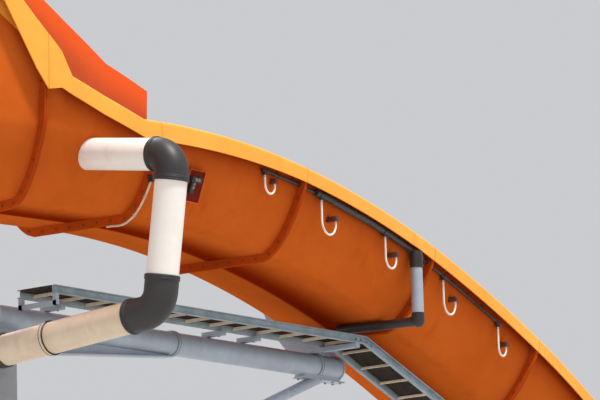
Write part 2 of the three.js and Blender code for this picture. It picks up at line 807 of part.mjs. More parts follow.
const strutFoot = vector(columnX, armCentre.y, strutFootZ);
const strutHead = vector(strutHeadX, armCentre.y, headPadBottom);
const strutTop = headPadBottom - 2 * pieceGap;
const strutBack = columnX + columnRadius + strutPadReach + 2 * pieceGap;
const far = 2000;
add('arm_strut', join(
  cut(
    rod(strutFoot, strutHead.clone().lerp(strutFoot, -0.05), strutRadius, 20),
    box(far, far, far, strutBack - far / 2, armCentre.y, strutFootZ),
    box(far, far, far, strutHead.x, armCentre.y, strutTop - headPlate.thickness / 2 + far / 2)),
  box(headPlate.to - headPlate.from, headPlate.width, headPlate.thickness,
    (headPlate.from + headPlate.to) / 2, armCentre.y, strutTop - headPlate.thickness / 2)), 'galvanised');

// Walkway
const mitre = Math.tan(radians(stairSlope) / 2);
const stairDown = vector(Math.cos(radians(stairSlope)), 0, -Math.sin(radians(stairSlope)));
const stairUp = vector(Math.sin(radians(stairSlope)), 0, Math.cos(radians(stairSlope)));
const level = vector(1, 0, 0);
const plumb = vector(0, 0, 1);
const knee = vector(walkwayKneeX, 0, walkwayZ);

// A closed outline drawn across a run, as points (y, height), lofted from end to end
function run(outline, start, end, along, up, startSkew = 0, endSkew = 0) {
  const rows = [[start, startSkew], [end, endSkew]].map(([origin, skew]) => outline.map((p) => {
    const point = step(step(origin, up, p.y), along, p.y * skew);
    point.y += p.x;
    return point;
  }));
  return closeLoft(rows, outline);
}

function channelOutline(side) {
  const half = railDepth / 2;
  const inner = walkwayNearY + railFlange;
  const points = [[walkwayNearY, -half], [inner, -half], [inner, half], [walkwayNearY, half],
    [walkwayNearY, half - railWeb], [inner - railWeb, half - railWeb],
    [inner - railWeb, railWeb - half], [walkwayNearY, railWeb - half]];
  const outline = points.map(([y, z]) => new THREE.Vector2(y, z));
  return side < 0 ? outline : outline.map((p) => new THREE.Vector2(-p.x, p.y)).reverse();
}

function rectangle(halfWidth, low, high) {
  return [[-halfWidth, low], [halfWidth, low], [halfWidth, high], [-halfWidth, high]]
    .map(([y, z]) => new THREE.Vector2(y, z));
}

const levelStart = vector(walkwayStartX, 0, walkwayZ);
const levelEnd = step(knee, level, -pieceGap);
const stairStart = step(knee, stairDown, pieceGap);
const stairEnd = step(knee, stairDown, stairLength);

for (const [side, name] of [[-1, 'near'], [1, 'far']]) {
  add(`walkway_${name}_rail`,
    run(channelOutline(side), levelStart, levelEnd, level, plumb, 0, mitre), 'galvanised');
  add(`ramp_${name}_rail`,
    run(channelOutline(side), stairStart, stairEnd, stairDown, stairUp, -mitre, 0), 'galvanised');
}

// The deck with its cross bars, between the rails
function deck(start, along, up, length, spacing, skews) {
  const half = walkwayFarY - railFlange - 2 * pieceGap;
  const end = step(start, along, length);
  const plateOutline = rectangle(half, deckLow, deckLow + deckThickness);
  const pieces = [run(plateOutline, start, end, along, up, ...skews)];
  for (let x = spacing / 2; x < length - barSection * 2; x += spacing) {
    const from = step(start, along, x);
    pieces.push(run(rectangle(half, deckLow - barSection, deckLow + 4), from,
      step(from, along, barSection), along, up));
  }
  return join(...pieces);
}

const levelLength = levelEnd.x - levelStart.x;
add('walkway_deck', deck(levelStart, level, plumb, levelLength, barSpacing, [0, mitre]), 'deck');
add('ramp_deck', deck(
  stairStart, stairDown, stairUp, stairLength - pieceGap, rampBarSpacing, [-mitre, 0]), 'deck');

const bearerTop = walkwayZ - railDepth / 2 - 2 * pieceGap;
bearers.forEach(({ x, y }, i) => {
  const height = bearerTop - (armCentre.z + armRadius + 2 * pieceGap);
  const length = armCentre.y + bearerOverhang - y;
  add(`walkway_bearer_${i + 1}`, box(bearerWidth, length, height,
    x, y + length / 2, bearerTop - height / 2), 'galvanised');
});

// Downstream trestle: saddle on a head beam, two raking legs and a tie
const lastJoint = joints[joints.length - 1];
const rampLow = stairEnd.z - (railDepth / 2) * stairUp.z;
const beamTop = rampLow - 2 * pieceGap;
const beamX = stairEnd.x - (railDepth / 2) * stairUp.x - 40;
const beamZ = beamTop - beamSize / 2;
const beamFrom = walkwayNearY - 60;
const beamTo = lastJoint.y + beamReach;
add('trestle_head', join(
  box(beamSize, beamTo - beamFrom, beamSize, beamX, (beamFrom + beamTo) / 2, beamZ),
  saddle(5, 1, -saddleThickness, 0, trestleSaddleFrom, trestleSaddleDepth, 6)), 'galvanised');

const legTopZ = beamTop - beamSize - 2 * pieceGap;
const trestleY = (beamFrom + beamTo) / 2;

function leg(side, radius) {
  const top = vector(beamX, trestleY + side * legTopSpread, legTopZ);
  const foot = vector(beamX, trestleY + side * legFootSpread, ground);
  const overrun = 0.02;
  return rod(top.clone().lerp(foot, -overrun), foot.clone().lerp(top, -overrun), radius);
}

for (const [side, name] of [[-1, 'near'], [1, 'far']]) {
  const topY = trestleY + side * legTopSpread;
  const footY = trestleY + side * legFootSpread;
  add(`trestle_leg_${name}`, join(
    cut(leg(side, legRadius), box(far, far, far, beamX, topY, legTopZ + far / 2),
      box(far, far, far, beamX, footY, ground - far / 2)),
    ...columnFoot(beamX, footY)), 'column');
}
const tieHalf = (legTopSpread + legFootSpread) / 2;
add('trestle_tie', cut(
  box(tieSize, 2 * tieHalf, tieSize, beamX, trestleY, (ground + legTopZ) / 2),
  leg(-1, legRadius + 2 * pieceGap), leg(1, legRadius + 2 * pieceGap)), 'column');

// Upstream column with its saddle
const firstStation = stationAt(0, 0);
const upstreamX = firstStation.position.x + 30;
const upstreamY = firstStation.position.y;
const upstreamTop = firstStation.position.z - upstreamSaddleDepth - capThickness / 2;
add('upstream_saddle', join(
  saddle(0, 0, 0, saddleThickness, -upstreamSaddleHalf, upstreamSaddleDepth, 5),
  box(capSize, 2 * upstreamSaddleHalf, capThickness,
    upstreamX, upstreamY, upstreamTop + capThickness / 2)), 'galvanised');
add('upstream_column', join(
  rod(vector(upstreamX, upstreamY, ground), vector(upstreamX, upstreamY, upstreamTop - 4), columnRadius),
  box(capSize, capSize, capThickness, upstreamX, upstreamY,
    upstreamTop - 2 * pieceGap - capThickness / 2),
  ...columnFoot(upstreamX, upstreamY)), 'column');

export default group;
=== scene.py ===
# %% [markdown]
# # An open water slide on its steelwork
#
# The CAD model holds the slide's solids: six flanged bays of fibreglass flume, the pipes that
# feed it, a service walkway and the steel that carries everything. This notebook gives them
# their finish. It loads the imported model, looks up at it from the ground, rebuilds the curved
# shells finely, adds bolts, clamps and grating, and gives every piece its own material.

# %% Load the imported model
import json
import math

import bmesh
import bpy
from mathutils import Matrix, Vector

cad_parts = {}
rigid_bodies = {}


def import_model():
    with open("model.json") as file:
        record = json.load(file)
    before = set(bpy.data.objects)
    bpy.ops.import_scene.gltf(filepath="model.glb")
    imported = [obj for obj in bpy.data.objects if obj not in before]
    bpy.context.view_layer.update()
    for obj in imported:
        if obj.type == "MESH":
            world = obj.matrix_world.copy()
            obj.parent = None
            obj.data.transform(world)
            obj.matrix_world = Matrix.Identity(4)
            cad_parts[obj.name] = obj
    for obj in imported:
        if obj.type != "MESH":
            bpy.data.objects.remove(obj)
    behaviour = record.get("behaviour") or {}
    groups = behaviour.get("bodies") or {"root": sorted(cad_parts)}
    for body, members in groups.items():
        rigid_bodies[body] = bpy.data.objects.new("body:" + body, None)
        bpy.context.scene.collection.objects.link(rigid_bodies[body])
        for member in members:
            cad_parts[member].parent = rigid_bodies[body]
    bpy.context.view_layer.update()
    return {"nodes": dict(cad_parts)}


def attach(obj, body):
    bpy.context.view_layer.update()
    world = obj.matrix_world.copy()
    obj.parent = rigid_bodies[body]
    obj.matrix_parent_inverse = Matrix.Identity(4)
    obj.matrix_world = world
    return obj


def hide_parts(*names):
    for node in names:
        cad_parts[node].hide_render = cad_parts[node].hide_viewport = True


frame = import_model()
nodes = frame["nodes"]

# %% [markdown]
# ## The camera
#
# The slide is seen from the ground, from well away, through a long lens. The camera aims at the
# setting out point, from which the drawing measures everything, and leans over by a small roll.
# Building its axes from cross products keeps that roll exact.

# %% Place the camera
SETTING_OUT = Vector((3.9, -0.35, 8.9))
CAMERA_AZIMUTH, CAMERA_ELEVATION, CAMERA_ROLL = (math.radians(a) for a in (-52.3, -10.5, 1.7))
CAMERA_DISTANCE, SENSOR_WIDTH, LENS, CLIP_END = 40.0, 36.0, 252.0, 400.0
UP = Vector((0, 0, 1))

back = Vector((math.sin(CAMERA_AZIMUTH) * math.cos(CAMERA_ELEVATION),
               -math.cos(CAMERA_AZIMUTH) * math.cos(CAMERA_ELEVATION), math.sin(CAMERA_ELEVATION)))
level_right = UP.cross(back).normalized()
level_up = back.cross(level_right)
right = level_right * math.cos(CAMERA_ROLL) - level_up * math.sin(CAMERA_ROLL)
above = level_up * math.cos(CAMERA_ROLL) + level_right * math.sin(CAMERA_ROLL)


def new_object(name, data):
    made = bpy.data.objects.new(name, data)
    bpy.context.scene.collection.objects.link(made)
    return made


camera = new_object("camera", bpy.data.cameras.new("camera"))
camera.data.sensor_width, camera.data.lens, camera.data.clip_end = SENSOR_WIDTH, LENS, CLIP_END
camera.matrix_world = (Matrix.Translation(SETTING_OUT + back * CAMERA_DISTANCE)
                       @ Matrix((right, above, back)).transposed().to_4x4())
bpy.context.scene.camera = camera
print("camera at", [round(c, 2) for c in camera.matrix_world.translation])

# %% [markdown]
# ## The line of the flume
#
# Every fitting on the slide is placed from the flume's own line, so that line comes first. Each
# joint between two bays has a heading and a fall, and both change evenly along a bay. Short
# straight steps add up to the curve, as they do in the CAD source, so that both agree.

# %% Follow the flume from joint to joint
JOINT_HEADING = [-22, -11, 4, 5, 8, 8, 9]
JOINT_FALL = [7, 1, -3, 7, 14, 19, 28]
BAY_LENGTH = [1.78, 1.22, 2.18, 2.25, 2.2, 2.2]
EVEN = [0, 0.25, 0.5, 0.75, 1]
BAY_SHARES = [[0, 0.25, 0.5, 0.74, 0.85, 0.93, 1], [0, 0.11, 0.2, 0.46, 0.84, 1],
              [0, 0.25, 0.5, 0.73, 1], EVEN, EVEN, EVEN]
ANCHOR_JOINT, ANCHOR = 3, SETTING_OUT + Vector((-1.245, 0.015, -0.726))
PATH_STEPS = 24
GAP = 0.00015


def blend(start, end, part):
    return start + (end - start) * part


def directions(bay, part):
    heading = math.radians(blend(JOINT_HEADING[bay], JOINT_HEADING[bay + 1], part))
    fall = math.radians(blend(JOINT_FALL[bay], JOINT_FALL[bay + 1], part))
    along = Vector((math.cos(heading) * math.cos(fall), math.sin(heading) * math.cos(fall),
                    -math.sin(fall)))
    across = Vector((-math.sin(heading), math.cos(heading), 0))
    return along, across, along.cross(across)


def travel(start, bay, part):
    point = start.copy()
    stride = part / PATH_STEPS
    for step in range(PATH_STEPS):
        point += directions(bay, (step + 0.5) * stride)[0] * (BAY_LENGTH[bay] * stride)
    return point


joints = [Vector()]
for bay in range(len(BAY_LENGTH)):
    joints.append(travel(joints[-1], bay, 1))
joints = [joint + ANCHOR - joints[ANCHOR_JOINT] for joint in joints]


def place(bay, part, y, z):
    _, across, up = directions(bay, part)
    return travel(joints[bay], bay, part) + across * y + up * z


def bay_parts(bay, cuts=1):
    """The places of a bay's cross sections, each span cut into equal pieces."""
    gap = GAP / BAY_LENGTH[bay]
    spans = zip(BAY_SHARES[bay], BAY_SHARES[bay][1:])
    shares = [blend(start, end, cut / cuts) for start, end in spans for cut in range(cuts)]
    return [blend(gap, 1 - gap, share) for share in shares + [1]]


def beside_wall(bay, part, locate):
    parts = bay_parts(bay)
    span = next((i for i, end in enumerate(parts[1:]) if end >= part), len(parts) - 2)
    start, end = parts[span:span + 2]
    return locate(start).lerp(locate(end), (part - start) / (end - start))


print("joints at", [[round(c, 2) for c in joint] for joint in joints])

# %% [markdown]
# ## The spray hoses
#
# A white hose hangs from each tee under the rim, turns round in a loop and rises into its
# nozzle. It is a short hose with both ends fixed, so its line is known: straight down, half a
# circle, and up. SPRAYS gives the bay, the place in it, the radius of the line there, the
# radius of the loop and how far it hangs.

# %% Hang the spray hoses
LINE_RADIUS, MANIFOLD_RADIUS = 0.014, 0.03
SPRAYS = [(2, 0.74, LINE_RADIUS, 0.08, 0.08), (3, 0.139, MANIFOLD_RADIUS, 0.12, 0.19),
          (3, 0.629, MANIFOLD_RADIUS, 0.1, 0.19), (4, 0.14, LINE_RADIUS, 0.12, 0.2),
          (4, 0.662, LINE_RADIUS, 0.08, 0.2)]
LINE_OUT, LINE_HEIGHT = 0.87, 0.605
TEE_DROP, HOSE_RISE, HOSE_RADIUS = 0.045, 0.022, 0.01
DROP_STEPS, TURN_STEPS, RISE_STEPS = 4, 16, 2


def spray_tee(bay, part, radius):
    return beside_wall(bay, part, lambda at: place(bay, at, -LINE_OUT - radius, LINE_HEIGHT))


def level_along(bay, part):
    along = directions(bay, part)[0]
    return Vector((along.x, along.y, 0)).normalized()


def hose_route(bay, part, radius, loop, drop):
    along = level_along(bay, part)
    start = spray_tee(bay, part, radius) - UP * (TEE_DROP + 2 * GAP)
    points = [start - UP * drop * s / DROP_STEPS for s in range(DROP_STEPS)]
    centre = start - UP * drop + along * loop
    for step in range(TURN_STEPS + 1):
        turned = math.pi * step / TURN_STEPS
        points.append(centre - along * loop * math.cos(turned) - UP * loop * math.sin(turned))
    return points + [points[-1] + UP * HOSE_RISE * s / RISE_STEPS for s in range(1, RISE_STEPS + 1)]


hose_ends = []
for number, spray in enumerate(SPRAYS, 1):
    route = hose_route(*spray)
    curve = bpy.data.curves.new(f"looped_hose_{number}", "CURVE")
    curve.dimensions, curve.bevel_depth, curve.bevel_resolution = "3D", HOSE_RADIUS, 4
    curve.use_fill_caps = True
    spline = curve.splines.new("POLY")
    spline.points.add(len(route) - 1)
    for point, place_on_route in zip(spline.points, route):
        point.co = (*place_on_route, 1)
    spline.use_smooth = True
    hose = new_object(curve.name, curve)
    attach(hose, "root")
    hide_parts(f"spray_hose_{number}")
    length = sum((b - a).length for a, b in zip(route, route[1:]))
    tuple(route[0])
    hose_ends.append((route[0], route[-1]))
    print(hose.name, "is", round(length, 3), "m long")

# %% [markdown]
# ## Effects that several finishes share
#
# Outdoor plant weathers in a few ways: rain draws streaks down upright faces, dust and algae
# make soft clouds, and moulding or rolling leaves a fine grain. Each is built once as a node
# group with named inputs, so that a finish only states how large and how strong it is.

# %% Build the shared node groups
STREAK_SHAPE, STREAK_LEVEL, STREAK_EDGE = (1.0, 1.0, 0.09), 0.95, 4.0
CLOUD_EDGES, WAVE_SHARE = (0.3, 0.7), 4.0


def start_group(name, inputs, outputs):
    group = bpy.data.node_groups.new(name, "ShaderNodeTree")
    for socket, value in inputs.items():
        kind = "NodeSocketFloat" if isinstance(value, float) else "NodeSocketVector"
        made = group.interface.new_socket(socket, in_out="INPUT", socket_type=kind)
        if isinstance(value, float):
            made.default_value = value
    for socket in outputs:
        group.interface.new_socket(socket, in_out="OUTPUT", socket_type="NodeSocketFloat")
    return group, group.nodes.new("NodeGroupInput"), group.nodes.new("NodeGroupOutput")


def add_node(tree, kind, settings=None, **inputs):
    node = tree.nodes.new(kind)
    for name, value in (settings or {}).items():
        setattr(node, name, value)
    for name, value in inputs.items():
        socket = node.inputs[int(name[1:])] if name[1:].isdigit() else node.inputs[name.replace("_", " ")]
        if isinstance(value, bpy.types.NodeSocket):
            tree.links.new(value, socket)
        else:
            socket.default_value = value
    return node


def ramp(tree, value, low, high):
    made = add_node(tree, "ShaderNodeMapRange", {"interpolation_type": "SMOOTHSTEP"}, Value=value)
    made.inputs["From Min"].default_value, made.inputs["From Max"].default_value = low, high
    return made.outputs["Result"]


def times(tree, first, second):
    return add_node(tree, "ShaderNodeMath", {"operation": "MULTIPLY"}, _0=first, _1=second).outputs[0]


def minus(tree, first, second):
    return add_node(tree, "ShaderNodeMath", {"operation": "SUBTRACT"}, _0=first, _1=second).outputs[0]


def build_streaks():
    group, given, result = start_group("rain_streaks", {"Place": (0, 0, 0), "Size": 8.0, "Cover": 0.5},
                                       ["Mask"])
    narrow = add_node(group, "ShaderNodeVectorMath", {"operation": "MULTIPLY"}, _0=given.outputs["Place"],
                      _1=STREAK_SHAPE)
    noise = add_node(group, "ShaderNodeTexNoise", Vector=narrow.outputs[0], Scale=given.outputs["Size"],
                     Detail=3.0)
    above_low = minus(group, noise.outputs[0], minus(group, STREAK_LEVEL, given.outputs["Cover"]))
    mask = add_node(group, "ShaderNodeMath", {"operation": "MULTIPLY", "use_clamp": True},
                    _0=above_low, _1=STREAK_EDGE)
    group.links.new(mask.outputs[0], result.inputs["Mask"])
    return group


def build_clouds():
    group, given, result = start_group("soft_clouds", {"Place": (0, 0, 0), "Size": 1.5}, ["Mask"])
    noise = add_node(group, "ShaderNodeTexNoise", Vector=given.outputs["Place"],
                     Scale=given.outputs["Size"], Detail=5.0, Roughness=0.6)
    group.links.new(ramp(group, noise.outputs[0], *CLOUD_EDGES), result.inputs["Mask"])
    return group


def build_grain():
    group, given, result = start_group("fine_grain", {"Place": (0, 0, 0), "Size": 120.0, "Waves": 3.0},
                                       ["Height"])
    fine, wide = (add_node(group, "ShaderNodeTexNoise", Vector=given.outputs["Place"],
                           Scale=given.outputs[size], Detail=detail).outputs[0]
                  for size, detail in (("Size", 2.0), ("Waves", 1.0)))
    both = add_node(group, "ShaderNodeMath", {"operation": "MULTIPLY_ADD"}, _0=wide, _1=WAVE_SHARE,
                    _2=fine)
    group.links.new(both.outputs[0], result.inputs["Height"])
    return group


streaks, clouds, grain = build_streaks(), build_clouds(), build_grain()
print("groups:", streaks.name, clouds.name, grain.name)

# %% [markdown]
# ## One recipe for a weathered finish
#
# Most finishes here are a base colour that drifts a little, a second colour where rain has run,
# and a third where dirt has settled. One function lays those three over each other on Object
# coordinates, so nothing slides, and returns a material that a finish can change further.
# Colours are written as a screen shows them, from 0 to 255, and turned linear in one place.

# %% Mix a weathered finish
SPOT_FINER, ROUGH_SPREAD, BUMP_DEPTH = 4.3, 0.18, 0.01


def linear(value):
    value /= 255
    return value / 12.92 if value <= 0.04045 else ((value + 0.055) / 1.055) ** 2.4


def colour_of(red, green, blue):
    return linear(red), linear(green), linear(blue), 1.0


def use_group(tree, group, place_socket, **values):
    node = add_node(tree, "ShaderNodeGroup", {"node_tree": group}, Place=place_socket)
    for name, value in values.items():
        node.inputs[name].default_value = value
    return node.outputs[0]


def mix(tree, mask, below, over):
    node = add_node(tree, "ShaderNodeMix", {"data_type": "RGBA"})
    for socket, value in ((node.inputs[0], mask), (node.inputs[6], below), (node.inputs[7], over)):
        if isinstance(value, bpy.types.NodeSocket):
            tree.links.new(value, socket)
        else:
            socket.default_value = value
    return node.outputs[2]


def weathered(name, base, drift, streak, dirt, roughness, metallic=0.0, specular=0.5, streak_size=8.0,
              cloud_size=1.5, streak_cover=0.42, dirt_share=0.3, bump=0.02, waves=3.0):
    material = bpy.data.materials.new(name)
    material.use_nodes = True
    tree = material.node_tree
    shader = tree.nodes["Principled BSDF"]
    where = add_node(tree, "ShaderNodeTexCoord").outputs["Object"]
    cloud = use_group(tree, clouds, where, Size=cloud_size)
    rain = use_group(tree, streaks, where, Size=streak_size, Cover=streak_cover)
    spots = times(tree, use_group(tree, clouds, where, Size=cloud_size * SPOT_FINER), dirt_share)
    colour = colour_of(*base)
    for mask, over in ((cloud, drift), (rain, streak), (spots, dirt)):
        colour = mix(tree, mask, colour, colour_of(*over))
    tree.links.new(colour, shader.inputs["Base Color"])
    rough = add_node(tree, "ShaderNodeMath", {"operation": "MULTIPLY_ADD"}, _0=cloud, _1=ROUGH_SPREAD,
                     _2=roughness - ROUGH_SPREAD / 2).outputs[0]
    tree.links.new(rough, shader.inputs["Roughness"])
    shader.inputs["Metallic"].default_value = metallic
    shader.inputs["Specular IOR Level"].default_value = specular
    height = use_group(tree, grain, where, Waves=waves)
    bumped = add_node(tree, "ShaderNodeBump", Height=height, Strength=bump, Distance=BUMP_DEPTH)
    tree.links.new(bumped.outputs[0], shader.inputs["Normal"])
    return material


pipe_white = weathered("white_pipe", (252, 248, 243), (246, 240, 233), (238, 229, 218),
                       (226, 214, 200), 0.38, streak_cover=0.34, dirt_share=0.14, streak_size=9.0)
pipe_beige = weathered("beige_pipe", (232, 212, 190), (224, 202, 178), (208, 184, 158),
                       (190, 162, 136), 0.42, streak_cover=0.36, dirt_share=0.2, streak_size=9.0)
fitting_grey = weathered("moulded_grey_plastic", (40, 37, 38), (48, 45, 46), (62, 58, 56),
                         (70, 64, 59), 0.38, dirt_share=0.2, streak_cover=0.32)
elbow_grey = weathered("elbow_plastic", (44, 42, 44), (52, 50, 52), (62, 59, 59),
                       (68, 63, 60), 0.52, dirt_share=0.2, streak_cover=0.32)
nozzle_brown = weathered("brown_nozzle", (98, 50, 32), (84, 44, 30), (110, 66, 44),
                         (72, 44, 34), 0.55, cloud_size=20.0)
black_rubber = weathered("black_rubber", (30, 28, 27), (42, 39, 36), (70, 64, 58),
                         (60, 55, 50), 0.6)
galvanised = weathered("galvanised_steel", (172, 184, 199), (163, 175, 190), (182, 192, 203),
                       (146, 140, 132), 0.52, metallic=0.12, cloud_size=3.0, streak_size=12.0,
                       streak_cover=0.36, dirt_share=0.16, bump=0.03)
rail_steel = weathered("rail_steel", (158, 172, 186), (136, 154, 160), (170, 180, 188),
                       (128, 126, 116), 0.5, metallic=0.3, cloud_size=7.0, streak_size=18.0,
                       streak_cover=0.36, dirt_share=0.22, bump=0.03)
column_paint = weathered("column_paint", (158, 163, 172), (146, 151, 160), (168, 166, 162),
                         (126, 118, 108), 0.55, metallic=0.05, streak_size=11.0, dirt_share=0.22)
# The grating's dark brown is partly its own dark steel, partly painted shade under the deck.
grating_steel = weathered("grating_steel", (50, 39, 31), (41, 33, 27), (70, 54, 41),
                          (60, 40, 28), 0.7, cloud_size=14.0)
bar_steel = weathered("cross_bar_steel", (250, 238, 214), (240, 226, 200), (216, 198, 170),
                      (186, 162, 134), 0.6, cloud_size=14.0)
conduit_cream = weathered("cream_conduit", (236, 216, 190), (222, 200, 172), (198, 172, 142),
                          (170, 140, 110), 0.5, cloud_size=10.0)
bolt_zinc = weathered("bolt_zinc", (158, 160, 162), (136, 137, 138), (150, 128, 104),
                      (130, 98, 70), 0.42, metallic=0.6, cloud_size=20.0)
bolt_tinted = weathered("tinted_bolt", (158, 72, 30), (146, 66, 28), (130, 64, 32),
                        (104, 58, 34), 0.6, metallic=0.1, cloud_size=20.0)
hose_white = weathered("white_hose", (250, 243, 236), (242, 233, 223), (224, 211, 196),
                       (208, 195, 178), 0.4, streak_size=30.0, cloud_size=8.0, dirt_share=0.2)
seal_dark = weathered("joint_sealant", (112, 48, 18), (98, 42, 18), (84, 42, 24),
                      (70, 38, 24), 0.7, specular=0.2)
weld_grey = weathered("weld_grey", (150, 154, 158), (132, 136, 140), (146, 140, 132),
                      (134, 112, 92), 0.55, metallic=0.3, cloud_size=20.0)
# Painted shade: the box's recess is a dark sheet before its face.
recess_shade_red = weathered("dark_recess", (126, 32, 10), (108, 26, 8), (92, 26, 12),
                       (70, 26, 14), 0.7, cloud_size=20.0, specular=0.1)
# A painted highlight for the box's lit lower and downstream edges.
lit_edge = weathered("lit_box_edge", (232, 98, 46), (220, 88, 40), (206, 80, 36),
                     (176, 68, 34), 0.6, cloud_size=20.0, specular=0.2)
for number in range(1, len(SPRAYS) + 1):
    bpy.data.objects[f"looped_hose_{number}"].data.materials.append(hose_white)
print(len(bpy.data.materials), "materials")

# %% [markdown]
# ## Gel-coated laminate
#
# The flume's orange is four finishes. The rim is a brighter orange, a painted highlight for sun on
# the lip, the outside of the wall is a flatter burnt orange with painted shade under the lip, the
# flanges are darker, and the inside has a painted glow for daylight coming through the laminate,
# brightest in a painted band at its top edge. Along the underside runs a dark band of painted
# shade. The shells carry their own height, reach and depth below the rim as attributes, so all of
# this follows the trough.

# %% Make the laminates
# The dark band under the trough is painted shade, low on the outside and across the bottom's near half.
BAND_HEIGHT, BAND_NEAR, BAND_FAR = 0.1, (-0.4, 0.05), (0.1, 0.15)
# Near the rim the outside takes painted shade under the lip and the inside a painted brighter top edge.
SHADE_DEPTH, SHADE_SHARE = 0.4, 0.75
# The inside's emission is a painted glow that stands in for daylight through the laminate.
GLOW_DEPTH, GLOW_STRENGTH = 0.9, 0.12


def attribute(tree, name):
    return add_node(tree, "ShaderNodeAttribute", {"attribute_name": name}).outputs["Fac"]


def laminate(name, base, drift, streak, dirt, roughness, specular, underside_shade=None, near_rim_painted_light=None, painted_glow=None):
    material = weathered(name, base, drift, streak, dirt, roughness, specular=specular, cloud_size=0.9,
                         streak_size=5.0, streak_cover=0.34, dirt_share=0.16, bump=0.012, waves=1.4)
    tree = material.node_tree
    shader = tree.nodes["Principled BSDF"]
    colour = shader.inputs["Base Color"].links[0].from_socket
    # Painted shade: a dark band low on the outside, along the underside.
    if underside_shade:
        low = minus(tree, 1.0, ramp(tree, attribute(tree, "height"), 0.0, BAND_HEIGHT))
        reach = attribute(tree, "reach")
        band = minus(tree, ramp(tree, reach, *BAND_NEAR), ramp(tree, reach, *BAND_FAR))
        colour = mix(tree, times(tree, low, band), colour, colour_of(*underside_shade))
    # Painted light near the rim: shade under the lip outside, a brighter top edge inside.
    if near_rim_painted_light:
        shade = minus(tree, 1.0, ramp(tree, attribute(tree, "below_rim"), 0.0, SHADE_DEPTH))
        colour = mix(tree, times(tree, shade, SHADE_SHARE), colour, colour_of(*near_rim_painted_light))
    tree.links.new(colour, shader.inputs["Base Color"])
    # Painted glow: emission that fades over GLOW_DEPTH below the rim.
    if painted_glow:
        lit = minus(tree, 1.0, ramp(tree, attribute(tree, "below_rim"), 0.0, GLOW_DEPTH))
        tree.links.new(mix(tree, lit, (0, 0, 0, 1), colour_of(*painted_glow)), shader.inputs["Emission Color"])
        shader.inputs["Emission Strength"].default_value = GLOW_STRENGTH
    return material


# The wall's two dark colours are painted shade: one band along the underside, one under the lip.
wall_orange = laminate("wall_laminate", (211, 102, 37), (203, 94, 33), (192, 84, 28),
                       (164, 66, 22), 0.6, 0.0, underside_shade=(130, 32, 2), near_rim_painted_light=(138, 37, 7))
flange_orange = laminate("flange_laminate", (192, 80, 24), (182, 72, 21), (168, 64, 20),
                         (144, 56, 20), 0.65, 0.0)
# The rim's brighter orange is a painted highlight of the sun on the lip.
sunlit_rim_orange = laminate("rim_laminate", (253, 177, 72), (249, 167, 63), (240, 152, 50),
                      (222, 138, 50), 0.5, 0.2)
# The inside's brighter top edge and its glow are painted light.
inside_orange = laminate("inside_laminate", (186, 76, 27), (176, 70, 26), (166, 64, 25),
                         (150, 64, 32), 0.35, 0.15, near_rim_painted_light=(240, 92, 14), painted_glow=(255, 84, 2))
print("laminates:", wall_orange.name, flange_orange.name, sunlit_rim_orange.name, inside_orange.name)

# %% [markdown]
# ## Turning a mesh into a piece
#
# Everything that follows is modelled in a bmesh and then becomes an object the same way: faces
# are smooth, edges that turn sharply are marked sharp, and the piece is tied to the slide. A
# loop of edges that is extruded from place to place makes shells, tubes and flanges alike.

# %% Helpers for new pieces
SHARP_EDGE = math.radians(35)


def finish_piece(name, bm, materials, slot, stands_for=()):
    bmesh.ops.recalc_face_normals(bm, faces=bm.faces)
    for face in bm.faces:
        face.smooth = True
    for edge in bm.edges:
        edge.smooth = edge.calc_face_angle(0) < SHARP_EDGE
    mesh = bpy.data.meshes.new(name)
    bm.to_mesh(mesh)
    bm.free()
    for material in materials:
        mesh.materials.append(material)
    piece = new_object(name, mesh)
    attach(piece, "root")
    if stands_for:
        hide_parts(*stands_for)


def loop_through(bm, rings, capped=True):
    """Extrudes a closed loop of edges through every ring, and returns the vertices ring by ring."""
    verts = [bm.verts.new(point) for point in rings[0]]
    edges = [bm.edges.new((a, b)) for a, b in zip(verts, verts[1:] + verts[:1])]
    rows, ends = [verts], [edges]
    for ring in rings[1:]:
        made = bmesh.ops.extrude_edge_only(bm, edges=edges)["geom"]
        fresh = {g for g in made if isinstance(g, bmesh.types.BMVert)}
        step = {next(e.other_vert(v) for e in v.link_edges if e.other_vert(v) not in fresh): v
                for v in fresh}
        verts = [step[v] for v in verts]
        for vert, point in zip(verts, ring):
            vert.co = point
        edges = [g for g in made if isinstance(g, bmesh.types.BMEdge) and all(v in fresh for v in g.verts)]
        rows.append(verts)
        ends.append(edges)
    if capped:
        for edges in (ends[0], ends[-1]):
            cap = bmesh.ops.edgeloop_fill(bm, edges=edges)["faces"]
            bmesh.ops.triangulate(bm, faces=[f for f in cap if len(f.verts) > 4], ngon_method="EAR_CLIP")
    return rows


def tube(bm, spine, sides=32):
    """A round tube or bead through (centre, direction, radius) stations."""
    rings = []
    for centre, direction, radius in spine:
        first = direction.orthogonal().normalized() if abs(direction.x) > 0.9 else direction.cross(
            Vector((1, 0, 0))).normalized()
        second = direction.cross(first).normalized()
        rings.append([centre + (first * math.cos(t) + second * math.sin(t)) * radius
                      for t in (2 * math.pi * s / sides for s in range(sides))])
    loop_through(bm, rings)


print("helpers ready")

# %% [markdown]
# ## The flume's shells
#
# A bay of flume is a laminate shell about 12 mm thick: a flat bottom, a round corner, a leaning
# wall and, on most edges, a broad lip that folds out and down. The upstream bays have tall
# walls that follow the bend. The outline is drawn at a dozen or more places along each bay, and
# one loop of edges is extruded through them. Each vertex keeps where it is in the trough.
# A bent sheet with a Solidify modifier would be quicker, but its thickness would pinch where the
# lip folds. NEAR_WALL gives the rim's height and the lip's drop at places counted in bays from the
# first joint, and FAR_WALL only the rim's height.

